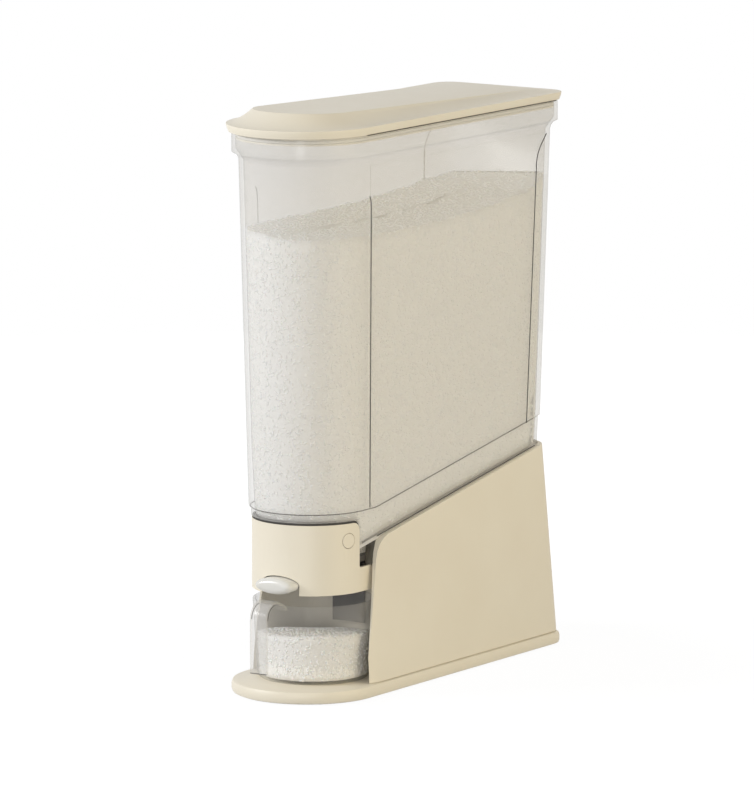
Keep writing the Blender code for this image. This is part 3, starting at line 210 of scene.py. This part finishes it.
def any_ray(tree, *kinds):
    """1 for a ray of any of some kinds, 0 for others."""
    path = tree.nodes.new("ShaderNodeLightPath")
    is_any = path.outputs[f"Is {kinds[0]} Ray"]
    for kind in kinds[1:]:
        is_any = largest(tree, is_any, path.outputs[f"Is {kind} Ray"])
    return is_any


class Shader:
    """A material's node tree with its principled shader, and short ways to add to it."""

    def __init__(self, name, colour, roughness, **values):
        self.material = bpy.data.materials.new(name)
        self.material.use_nodes = True
        self.tree = self.material.node_tree
        self.surface = self.tree.nodes["Principled BSDF"]
        self.output = self.tree.nodes["Material Output"]
        self.set("Base Color", colour)
        self.set("Roughness", roughness)
        for socket, value in values.items():
            self.set(socket.replace("_", " "), value)

    def set(self, socket, value):
        self.surface.inputs[socket].default_value = value

    def node(self, kind, **inputs):
        made = self.tree.nodes.new(kind)
        for socket, value in inputs.items():
            made.inputs[socket.replace("_", " ")].default_value = value
        return made

    def link(self, source, target):
        self.tree.links.new(source, target)

    def noise(self, scale, detail=3.0):
        """Noise in the piece's own coordinates, from 0 to 1."""
        place = self.node("ShaderNodeTexCoord")
        made = self.node("ShaderNodeTexNoise", Scale=scale, Detail=detail)
        self.link(place.outputs["Object"], made.inputs["Vector"])
        return made.outputs["Fac"]

    def cells(self, scale):
        """Distance from the middle of the nearest of many cells, in the piece's own coordinates."""
        place = self.node("ShaderNodeTexCoord")
        made = self.node("ShaderNodeTexVoronoi", Scale=scale)
        self.link(place.outputs["Object"], made.inputs["Vector"])
        return made.outputs["Distance"]

    def span(self, factor, start, end, low, high):
        """Takes a value from one range to another, held to its ends."""
        made = self.node("ShaderNodeMapRange", From_Min=start, From_Max=end, To_Min=low, To_Max=high)
        self.link(factor, made.inputs["Value"])
        return made.outputs["Result"]

    def vary(self, socket, factor, low, high):
        """Drives a value socket between two values."""
        self.link(self.span(factor, 0.0, 1.0, low, high), self.surface.inputs[socket])

    def bump(self, height, distance, strength=1.0):
        made = self.node("ShaderNodeBump", Strength=strength, Distance=distance)
        self.link(height, made.inputs["Height"])
        self.link(made.outputs["Normal"], self.surface.inputs["Normal"])

    def blend(self, factor, first, second):
        """Mixes two shaders, from the first at 0 to the second at 1."""
        made = self.node("ShaderNodeMixShader")
        self.link(factor, made.inputs["Fac"])
        self.link(first.outputs[0], made.inputs[1])
        self.link(second.outputs[0], made.inputs[2])
        return made

    def finish(self, shader):
        self.link(shader.outputs[0], self.output.inputs["Surface"])

    def ramp(self, factor, low, high, start, end):
        """Colour that goes from one shade to another."""
        made = self.node("ShaderNodeValToRGB")
        for element, position, colour in zip(made.color_ramp.elements, (start, end), (low, high)):
            element.position, element.color = position, colour
        self.link(factor, made.inputs["Fac"])
        return made.outputs["Color"]

    def tint(self, factor, low, high, start=0.3, end=0.7):
        """Blends the base colour between two shades."""
        self.link(self.ramp(factor, low, high, start, end), self.surface.inputs["Base Color"])


def moulded(name, shade, deeper, roughness, grain=0.00002):
    """Moulded plastic: cloudy shade, uneven gloss and a fine spark-eroded texture."""
    made = Shader(name, shade, roughness)
    made.tint(made.noise(18.0), deeper, shade)
    made.vary("Roughness", made.noise(240.0), roughness - 0.05, roughness + 0.07)
    made.bump(made.noise(2600.0, 2.0), grain)
    return made.material


def clear_plastic(name, haze, zone_axis, zone, zone_haze):
    """Clear moulding: faintly milky, more so in a zone along an axis, and darker at a glancing angle.

    Light passes through it.
    """
    made = Shader(name, linear(224, 222, 218), 0.14, Specular_IOR_Level=0.3)
    made.vary("Roughness", made.noise(60.0), 0.10, 0.18)
    made.bump(made.noise(35.0, 1.0), 0.00003)
    glance = made.node("ShaderNodeLayerWeight", Blend=CLEAR_FALL).outputs["Facing"]
    milky = made.span(glance, 0.0, 1.0, haze, EDGE_HAZE)
    place = made.node("ShaderNodeTexCoord")
    along = made.node("ShaderNodeVectorMath")
    along.operation = 'DOT_PRODUCT'
    along.inputs[1].default_value = zone_axis
    made.link(place.outputs["Object"], along.inputs[0])
    inside = made.node("ShaderNodeMath")
    inside.operation = 'COMPARE'
    made.link(along.outputs["Value"], inside.inputs[0])
    inside.inputs[1].default_value, inside.inputs[2].default_value = zone
    milkier = made.span(inside.outputs[0], 0.0, 1.0, 0.0, zone_haze)
    clear = made.node("ShaderNodeBsdfTransparent")
    made.link(made.ramp(glance, CLEAR_TINT, CLEAR_EDGE_TINT, DARKENS_FROM, 1.0), clear.inputs["Color"])
    seen = made.blend(largest(made.tree, milky, milkier), clear, made.surface)
    shone = made.node("ShaderNodeBsdfTransparent", Color=linear(252, 252, 252))
    made.finish(made.blend(any_ray(made.tree, "Shadow", "Diffuse"), seen, shone))
    return made.material


def rice_bed():
    """Packed rice seen between the loose grains: cells a grain wide with soft shadow between them."""
    made = Shader("rice_bed", linear(243, 242, 239), 0.6)
    cell = made.cells(620.0)
    # painted shade: each cell darker towards its edge, where the grains meet
    made.tint(cell, linear(246, 245, 243), linear(238, 236, 232), 0.1, 0.7)
    made.vary("Roughness", made.noise(300.0), 0.5, 0.7)
    made.bump(cell, 0.0003, 0.3)
    return made.material


def rice_grain():
    """Polished white rice: pale, a little translucent, each grain a slightly different shade."""
    made = Shader("rice_grain", linear(246, 245, 242), 0.45, Subsurface_Weight=0.1, Subsurface_Scale=0.002)
    made.tint(made.noise(330.0, 1.0), linear(240, 238, 235), linear(251, 250, 248))
    made.vary("Roughness", made.noise(500.0), 0.38, 0.55)
    return made.material


def steel():
    made = Shader("plain_steel", linear(196, 196, 198), 0.3, Metallic=1.0)
    made.tint(made.noise(160.0), linear(176, 176, 180), linear(204, 204, 206))
    made.vary("Roughness", made.noise(900.0), 0.22, 0.4)
    return made.material


def smoothing():
    """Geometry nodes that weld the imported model's loose triangles and smooth them between sharp edges."""
    group = bpy.data.node_groups.new("weld_and_smooth", 'GeometryNodeTree')
    for way in ('INPUT', 'OUTPUT'):
        group.interface.new_socket("Geometry", in_out=way, socket_type='NodeSocketGeometry')
    new = group.nodes.new
    start, end = new("NodeGroupInput"), new("NodeGroupOutput")
    chain = [start.outputs["Geometry"]]

    def follow(node):
        group.links.new(chain[-1], node.inputs["Mesh" if "Mesh" in node.inputs else "Geometry"])
        chain.append(node.outputs["Mesh" if "Mesh" in node.outputs else "Geometry"])
        return node

    for attribute in ("custom_normal", "sharp_face", "sharp_edge"):
        follow(new("GeometryNodeRemoveAttribute")).inputs["Name"].default_value = attribute
    follow(new("GeometryNodeMergeByDistance")).inputs["Distance"].default_value = WELD
    follow(new("GeometryNodeSetShadeSmooth")).domain = 'FACE'
    edges = follow(new("GeometryNodeSetShadeSmooth"))
    edges.domain = 'EDGE'
    edges.inputs["Shade Smooth"].default_value = False
    angle = new("GeometryNodeInputMeshEdgeAngle")
    sharp = new("FunctionNodeCompare")
    sharp.data_type = 'FLOAT'
    sharp.operation = 'GREATER_THAN'
    sharp.inputs["B"].default_value = math.radians(SMOOTH_ANGLE)
    group.links.new(angle.outputs["Unsigned Angle"], sharp.inputs["A"])
    group.links.new(sharp.outputs["Result"], edges.inputs["Selection"])
    group.links.new(chain[-1], end.inputs["Geometry"])
    return group


def dress(names, material, edge_radius=EDGE_RADIUS):
    """Gives CAD nodes a material, smooth shading and softened edges."""
    for name in names:
        node = nodes[name]
        node.data.materials.clear()
        node.data.materials.append(material)
        node.modifiers.new("smooth", 'NODES').node_group = SMOOTHING
        if edge_radius:
            flatten = node.modifiers.new("merge flat faces", 'DECIMATE')
            flatten.decimate_type = 'DISSOLVE'
            flatten.angle_limit = math.radians(FLAT_ANGLE)
            soften = node.modifiers.new("soften", 'BEVEL')
            soften.width = edge_radius
            soften.segments = EDGE_SEGMENTS
            soften.limit_method = 'ANGLE'
            soften.angle_limit = math.radians(SMOOTH_ANGLE)
            soften.harden_normals = True


def hopper_inside(z):
    """Half width, front centre and back of the hopper's inside at a height."""
    drop = HOPPER_TOP - z
    band = BAND_INSET * (1 - within(z, BAND_LOW, BAND_HIGH))
    half = HALF_TOP - HALF_DRAFT * drop - band
    return half, CENTRE_TOP + CENTRE_DRIFT * drop, BACK_TOP - BACK_DRAFT * drop


def rice_floor(y):
    """Height of the hopper's floor under the rice."""
    if y < SHOULDER_BACK:
        return SHOULDER_HEIGHT
    return FLOOR_HEIGHT + FLOOR_SLOPE * (y - SHOULDER_BACK)


def rice_top(x, y):
    """Height of the rice: level at the front, rising to the back, heaped against its wall and rippled."""
    back = within(y, RICE_RISE_FROM, RICE_RISE_TO)
    heap = within(y, RICE_HEAP_FROM, RICE_RISE_TO)
    rise = RICE_RISE * back * back + RICE_HEAP * heap * heap + mix(RICE_TILT, RICE_TILT_BACK, heap) * x
    ripple = math.sin(61 * y + 40 * x) * math.cos(83 * x - 37 * y) + 0.6 * math.sin(190 * y - 120 * x)
    return RICE_LEVEL + rise + RICE_RIPPLE * ripple


def hopper_ring(share):
    """Points round the heap's wall, a share of the way up from the floor to the rice's top."""
    corner = CORNER - RICE_CLEARANCE
    stops = [('front', math.pi * (1 + i / FRONT_STEPS)) for i in range(FRONT_STEPS + 1)]
    side = [SHOULDER_BACK - SHOULDER_EDGE, SHOULDER_BACK + SHOULDER_EDGE]
    side += [mix(SHOULDER_BACK, BACK_TOP - CORNER, i / SIDE_STEPS) for i in range(1, SIDE_STEPS)]
    stops += [(1, y) for y in side]
    stops += [('right corner', math.pi / 2 * i / CORNER_STEPS) for i in range(CORNER_STEPS + 1)]
    stops += [('left corner', math.pi / 2 * (1 + i / CORNER_STEPS)) for i in range(CORNER_STEPS + 1)]
    stops += [(-1, y) for y in reversed(side)]
    ring = []
    for kind, at in stops:
        x, y, z = 0.0, 0.0, RICE_LEVEL
        for _ in range(FIT_ROUNDS):
            half, centre, back = hopper_inside(z)
            half -= RICE_CLEARANCE
            if kind == 'front':
                x, y = half * math.cos(at), centre + half * math.sin(at)
            elif kind in (1, -1):
                x, y = kind * half, at
            else:
                middle = half - corner if kind == 'right corner' else corner - half
                x = middle + corner * math.cos(at)
                y = back - RICE_CLEARANCE - corner + corner * math.sin(at)
            z = mix(rice_floor(y), rice_top(x, y), share)
        ring.append(Vector((x, y, z)))
    return ring


def close_rings(rings):
    """Faces through rings of equal count, then a cap at each end."""
    count = len(rings[0])
    vertices = [point for ring in rings for point in ring]
    faces = []
    for low in range(0, (len(rings) - 1) * count, count):
        high = low + count
        faces += [(low + i, low + (i + 1) % count, high + (i + 1) % count, high + i) for i in range(count)]
    faces.append(tuple(reversed(range(count))))
    faces.append(tuple(range((len(rings) - 1) * count, len(rings) * count)))
    return vertices, faces


def hopper_rice(material):
    """The heap that fills the hopper."""
    rings = [hopper_ring(k / RISE_STEPS) for k in range(RISE_STEPS + 1)]
    edge = rings[-1]
    half, centre, back = hopper_inside(RICE_LEVEL)
    for k in range(1, TOP_STEPS + 1):
        inward = k / (TOP_STEPS + 0.5)
        ring = []
        for point in edge:
            spine = min(max(point.y, centre), back - half)
            x, y = point.x * (1 - inward), mix(point.y, spine, inward)
            ring.append(Vector((x, y, rice_top(x, y))))
        rings.append(ring)
    return add("rice_fill", *close_rings(rings), material, "hopper_unit", "silicone")


def cup_rice(material):
    """The measure of rice in the cup."""
    rings = []

    def ring(radius, z, share):
        points = []
        for i in range(CUP_STEPS):
            angle = 2 * math.pi * i / CUP_STEPS
            x, y = radius * math.cos(angle), radius * math.sin(angle)
            ripple = math.sin(angle * 2 + 0.6) + 0.5 * math.sin(angle * 5)
            lift = RICE_RIPPLE * ripple * radius / CUP_RADIUS_LOW
            lift += CUP_RICE_TILT[0] * x + CUP_RICE_TILT[1] * y
            points.append(Vector((x, CUP_CENTRE_Y + y, z + share * lift)))
        return points

    def wall_radius(z):
        return mix(CUP_RADIUS_LOW, CUP_RADIUS_HIGH, within(z, CUP_FLOOR, CUP_RIM)) - CUP_RICE_CLEARANCE

    for k in range(CUP_RISE_STEPS + 1):
        z = mix(CUP_FLOOR + RICE_CLEARANCE, CUP_RICE_TOP, k / CUP_RISE_STEPS)
        rings.append(ring(wall_radius(z), z, k / CUP_RISE_STEPS))
    for k in range(1, CUP_TOP_STEPS + 1):
        part = k / (CUP_TOP_STEPS + 0.5)
        rings.append(ring(wall_radius(CUP_RICE_TOP) * (1 - part),
                          CUP_RICE_TOP + CUP_RICE_MOUND * math.sin(part * math.pi / 2), 1.0))
    return add("rice_in_cup", *close_rings(rings), material, "cup", "silicone")


def grain_template():
    """Vertices and faces of one grain along X: a ring and two tips."""
    ring = [2 * math.pi * i / GRAIN_SIDES for i in range(GRAIN_SIDES)]
    points = [(0.0, 0.5 * math.cos(angle), GRAIN_FLATNESS * math.sin(angle)) for angle in ring]
    points += [(-0.5, 0.0, 0.0), (0.5, 0.0, 0.0)]
    faces = []
    for i in range(GRAIN_SIDES):
        j = (i + 1) % GRAIN_SIDES
        faces += [(GRAIN_SIDES, j, i), (GRAIN_SIDES + 1, i, j)]
    return np.array(points), np.array(faces)


def loose_grains(name, heap, material, body, floor):
    """Grains lying on a heap's sides and top, each turned its own way, all above the floor at their y."""
    draw = np.random.default_rng(RANDOM_SEED)
    mesh = heap.data
    mesh.calc_loop_triangles()
    uncapped = len(mesh.polygons) - 2
    corners = np.array([[mesh.vertices[v].co for v in t.vertices]
                        for t in mesh.loop_triangles if t.polygon_index < uncapped])
    normals = np.cross(corners[:, 1] - corners[:, 0], corners[:, 2] - corners[:, 0])
    areas = np.linalg.norm(normals, axis=1) / 2
    count = int(areas.sum() * CM2_PER_M2 * GRAINS_PER_CM2)
    chosen = draw.choice(len(areas), count, p=areas / areas.sum())
    u, v = draw.random((2, count))
    flip = u + v > 1
    u[flip], v[flip] = 1 - u[flip], 1 - v[flip]
    face = corners[chosen]
    spots = face[:, 0] + u[:, None] * (face[:, 1] - face[:, 0]) + v[:, None] * (face[:, 2] - face[:, 0])
    out = normals[chosen] / (2 * areas[chosen])[:, None]
    along = np.cross(out, draw.normal(size=(count, 3)))
    along /= np.linalg.norm(along, axis=1)[:, None]
    along += out * draw.normal(0.0, GRAIN_LEAN, (count, 1))
    along /= np.linalg.norm(along, axis=1)[:, None]
    across = np.cross(out, along)
    length = GRAIN_LENGTH * draw.uniform(*GRAIN_VARIES, count)
    width = GRAIN_WIDTH * draw.uniform(*GRAIN_VARIES, count)
    template, template_faces = grain_template()
    vertices = (spots[:, None, :]
                + (template[None, :, 0] * length[:, None])[..., None] * along[:, None, :]
                + (template[None, :, 1] * width[:, None])[..., None] * across[:, None, :]
                + (template[None, :, 2] * width[:, None])[..., None] * out[:, None, :])
    vertices = vertices[(vertices[..., 2] > np.vectorize(floor)(vertices[..., 1])).all(axis=1)]
    faces = template_faces[None] + (np.arange(len(vertices)) * len(template))[:, None, None]
    return add(name, vertices.reshape(-1, 3).tolist(), faces.reshape(-1, 3).tolist(),
               material, body, "silicone")


def bent(points, radius, steps=6):
    """A path through points with its inner corners rounded."""
    path = [points[0]]
    for before, corner, after in zip(points, points[1:], points[2:]):
        start = corner + (before - corner).normalized() * min(radius, (before - corner).length / 2)
        end = corner + (after - corner).normalized() * min(radius, (after - corner).length / 2)
        for i in range(steps + 1):
            t = i / steps
            path.append(start.lerp(corner, t).lerp(corner.lerp(end, t), t))
    return path + [points[-1]]


def tube(path, radius, axis=None):
    """Vertices and faces of a thin round tube along a path. A coil names the axis that it winds round."""
    rings = []
    for i, point in enumerate(path):
        along = (path[min(i + 1, len(path) - 1)] - path[max(i - 1, 0)]).normalized()
        level = Vector((0, 0, 1)) if abs(along.z) < 0.7 else Vector((1, 0, 0))
        out = along.cross(axis or level).normalized()
        up = out.cross(along)
        rings.append([point + radius * (out * math.cos(a) + up * math.sin(a))
                      for a in (2 * math.pi * k / TUBE_SIDES for k in range(TUBE_SIDES))])
    return close_rings(rings)


def dark_line(name, path, material, body="hopper_unit"):
    """Thin dark round tube along a path on a body: painted shade where a step, gap or bend throws its
    shadow.
    """
    return add(name, *tube(path, LINE_RADIUS), material, body, "rubber")


def return_springs(material):
    """Coils that stand for the springs' solids."""
    count = SPRING_TURNS * SPRING_POINTS
    for side, hand in ((-1, "left"), (1, "right")):
        path = [Vector((side * SPRING_X + SPRING_RADIUS * math.cos(a),
                        mix(SPRING_FRONT, SPRING_BACK, i / count),
                        SPRING_Z + SPRING_RADIUS * math.sin(a)))
                for i, a in enumerate(2 * math.pi * i / SPRING_POINTS for i in range(count + 1))]
        coil = add(f"spring_coil_{hand}", *tube(path, SPRING_WIRE, Vector((0, 1, 0))),
                   material, "hopper_unit", "steel")
        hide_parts(f"return_spring_{hand}")
        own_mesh(coil)


def seam_shade_lines(material):
    """Dark lines of painted shade in the seams under the lid and round the hopper's seat, and along the
    handle's shadowed edges.
    """
    for side, hand in ((-1, "left"), (1, "right")):
        lid = [Vector((side * LID_SEAM_HALF, y, LID_SEAM_HEIGHT)) for y in (LID_SEAM_FRONT, LID_SEAM_BACK)]
        dark_line(f"lid_seam_shade_{hand}", lid, material, "lid")
        seat = [Vector((side * SEAT_SEAM_HALF, y, SEAT_SEAM_AT_ZERO + FLOOR_SLOPE * y))
                for y in (SEAT_SEAM_FRONT, SEAT_SEAM_BACK)]
        dark_line(f"seat_seam_shade_{hand}", seat, material)
        turns = [math.radians(mix(HANDLE_FROM, 180, i / HANDLE_STEPS)) for i in range(HANDLE_STEPS + 1)]
        bend = [Vector((side * HANDLE_HALF, HANDLE_CENTRE[0] + HANDLE_BEND * math.cos(a),
                        HANDLE_CENTRE[1] + HANDLE_BEND * math.sin(a))) for a in turns]
        dark_line(f"handle_bend_shade_{hand}", bend, material, "cup")
    foot = [Vector((x, *HANDLE_FOOT)) for x in (-HANDLE_HALF, HANDLE_HALF)]
    dark_line("handle_foot_shade", foot, material, "cup")


def hopper_lines(material):
    """Dark lines of painted shade in the step over the lower band and along the panels' upright edges."""
    def step_height(y):
        return max(STEP_LEVEL, STEP_AT_ZERO + FLOOR_SLOPE * y)

    right = [Vector((STEP_HALF + HALF_DRAFT * (step_height(y) - STEP_LEVEL), y, step_height(y)))
             for y in np.linspace(STEP_CENTRE, STEP_BACK, SIDE_STEPS).tolist()]
    front = [Vector((STEP_HALF * math.cos(a), STEP_CENTRE + STEP_HALF * math.sin(a), STEP_LEVEL))
             for a in (math.pi * (1 + i / FRONT_STEPS) for i in range(1, FRONT_STEPS))]
    left = [Vector((-point.x, point.y, point.z)) for point in reversed(right)]
    dark_line("step_line", left + front + right, material)
    for side, hand in ((-1, "left"), (1, "right")):
        for name, corners in (("front", PANEL_FRONT), ("back", PANEL_BACK)):
            path = [Vector((side * (PANEL_HALF + HALF_DRAFT * (z - STEP_LEVEL)), y, z)) for y, z in corners]
            dark_line(f"panel_line_{name}_{hand}", bent(path, LINE_BEND), material)


def gap_shade(material):
    """Dark ring of painted shade between the hopper's lip and the collar, round the front and down past its
    corners.
    """
    spread = math.asin((GAP_SHADE_CENTRE - GAP_SHADE_BACK) / GAP_SHADE_OUTER)
    rings = []
    for i in range(GAP_SHADE_STEPS + 1):
        angle = math.pi + spread + (math.pi - 2 * spread) * i / GAP_SHADE_STEPS
        y = GAP_SHADE_CENTRE + GAP_SHADE_OUTER * math.sin(angle)
        past = max(y - GAP_SHADE_BACK + GAP_SHADE_CORNER, 0.0)
        down = GAP_SHADE_CORNER - math.sqrt(max(GAP_SHADE_CORNER ** 2 - past ** 2, 0.0))
        rings.append([Vector((radius * math.cos(angle), GAP_SHADE_CENTRE + radius * math.sin(angle),
                              z - down))
                      for radius, z in ((GAP_SHADE_INNER, GAP_SHADE_LOW), (GAP_SHADE_OUTER, GAP_SHADE_LOW),
                                        (GAP_SHADE_OUTER, GAP_SHADE_HIGH), (GAP_SHADE_INNER, GAP_SHADE_HIGH))])
    add("lip_gap_shade", *close_rings(rings), material, "hopper_unit", "rubber")


def white_when_seen(tree, otherwise):
    """1 for what the camera sees, straight, mirrored or through clear plastic, else another value."""
    value = tree.nodes.new("ShaderNodeMapRange")
    value.inputs["To Min"].default_value = otherwise
    tree.links.new(any_ray(tree, "Camera", "Glossy", "Transmission"), value.inputs["Value"])
    return value.outputs["Result"]


def make_world():
    world = bpy.data.worlds.new("studio")
    bpy.context.scene.world = world
    world.use_nodes = True
    background = world.node_tree.nodes["Background"]
    background.inputs["Color"].default_value = (1.0, 1.0, 1.0, 1.0)
    world.node_tree.links.new(white_when_seen(world.node_tree, AROUND), background.inputs["Strength"])


def make_floor():
    """White floor that keeps a faint shadow near the object."""
    bpy.ops.mesh.primitive_circle_add(vertices=96, radius=FLOOR_RADIUS, fill_type='NGON')
    floor = bpy.context.object
    floor.name = "floor"
    shade = (FLOOR_SHADE, FLOOR_SHADE, FLOOR_SHADE, 1.0)
    made = Shader("white_floor", shade, 0.9, Specular_IOR_Level=0.0)
    glow = made.node("ShaderNodeEmission", Strength=FLOOR_GLOW)
    place = made.node("ShaderNodeTexCoord")
    distance = made.node("ShaderNodeVectorMath")
    distance.operation = 'LENGTH'
    made.link(place.outputs["Object"], distance.inputs[0])
    share = made.span(distance.outputs["Value"], *SHADOW_FADES, 1.0 - SHADOW_SHARE, 1.0)
    seen = made.blend(share, made.surface, glow)
    made.finish(made.blend(white_when_seen(made.tree, 0.0), made.surface, seen))
    floor.data.materials.append(made.material)


def facing(at, target):
    """Turn of a lamp or camera that looks from one point at another."""
    return (Vector(target) - Vector(at)).to_track_quat('-Z', 'Y').to_euler()


def area_light(name, at, size, watts, colour=(1.0, 1.0, 1.0)):
    lamp = bpy.data.lights.new(name, 'AREA')
    lamp.size = size
    lamp.energy = watts
    lamp.color = colour
    item = bpy.data.objects.new(name, lamp)
    item.location = at
    item.rotation_euler = facing(at, LIT_POINT)
    bpy.context.scene.collection.objects.link(item)


def make_camera():
    camera = bpy.data.cameras.new("camera")
    camera.sensor_width = CAMERA_SENSOR
    camera.lens = CAMERA_LENS
    item = bpy.data.objects.new("camera", camera)
    item.location = CAMERA_AT
    item.rotation_euler = facing(CAMERA_AT, CAMERA_LOOKS_AT)
    bpy.context.scene.collection.objects.link(item)
    bpy.context.scene.camera = item


SMOOTHING = smoothing()
make_camera()
make_world()
make_floor()
area_light("key", KEY_AT, KEY_SIZE, KEY_WATTS)
area_light("front", FRONT_AT, FRONT_SIZE, FRONT_WATTS)
area_light("fill", FILL_AT, FILL_SIZE, FILL_WATTS, FILL_COLOUR)

cream = moulded("cream_moulding", linear(232, 225, 208), linear(229, 221, 203), 0.42)
dark = moulded("dark_moulding", linear(84, 82, 80), linear(76, 74, 72), 0.35)
pale = moulded("pale_gloss_moulding", linear(222, 221, 217), linear(217, 216, 211), 0.2, 0.000004)
silicone = moulded("silicone_rubber", linear(226, 222, 214), linear(220, 216, 207), 0.55)
# black rubber, also worn by the dark lines and ring of painted shade
rubber = moulded("black_rubber_and_shade", linear(64, 62, 60), linear(56, 54, 52), 0.7, 0.00004)
hopper_clear = clear_plastic("clear_hopper", HOPPER_HAZE,
                             (0.0, -FLOOR_SLOPE, 1.0), FLOOR_ZONE, FLOOR_HAZE)
cup_clear = clear_plastic("clear_cup", CUP_HAZE, (0.0, 1.0, 0.0), HANDLE_ZONE, HANDLE_HAZE)
bright = steel()

dress(["foot_plate", "base_housing", "collar", "collar_pin_left", "collar_pin_right",
       "lid_cover", "lid_liner"], cream)
dress(["hopper"], hopper_clear, 0.0)
dress(["measuring_cup"], cup_clear, 0.0)
dress(["outlet_chute", "gate_retainer", "gate"], dark)
dress(["dispense_button"], pale)
dress(["lid_seal"], silicone, 0.0)
dress(["neck_gasket"] + [f"foot_pad_{i}" for i in range(1, 5)], rubber)
dress([f"{kind}_screw_{i}" for kind in ("housing", "chute") for i in range(1, 5)], bright, 0.0)

bed, grain = rice_bed(), rice_grain()
heap = hopper_rice(bed)
measure = cup_rice(bed)
loose_grains("rice_grains", heap, grain, "hopper_unit", rice_floor)
loose_grains("rice_grains_in_cup", measure, grain, "cup", lambda y: CUP_FLOOR)
return_springs(bright)
hopper_lines(rubber)
seam_shade_lines(rubber)
gap_shade(rubber)

bpy.context.scene.view_settings.view_transform = 'Standard'
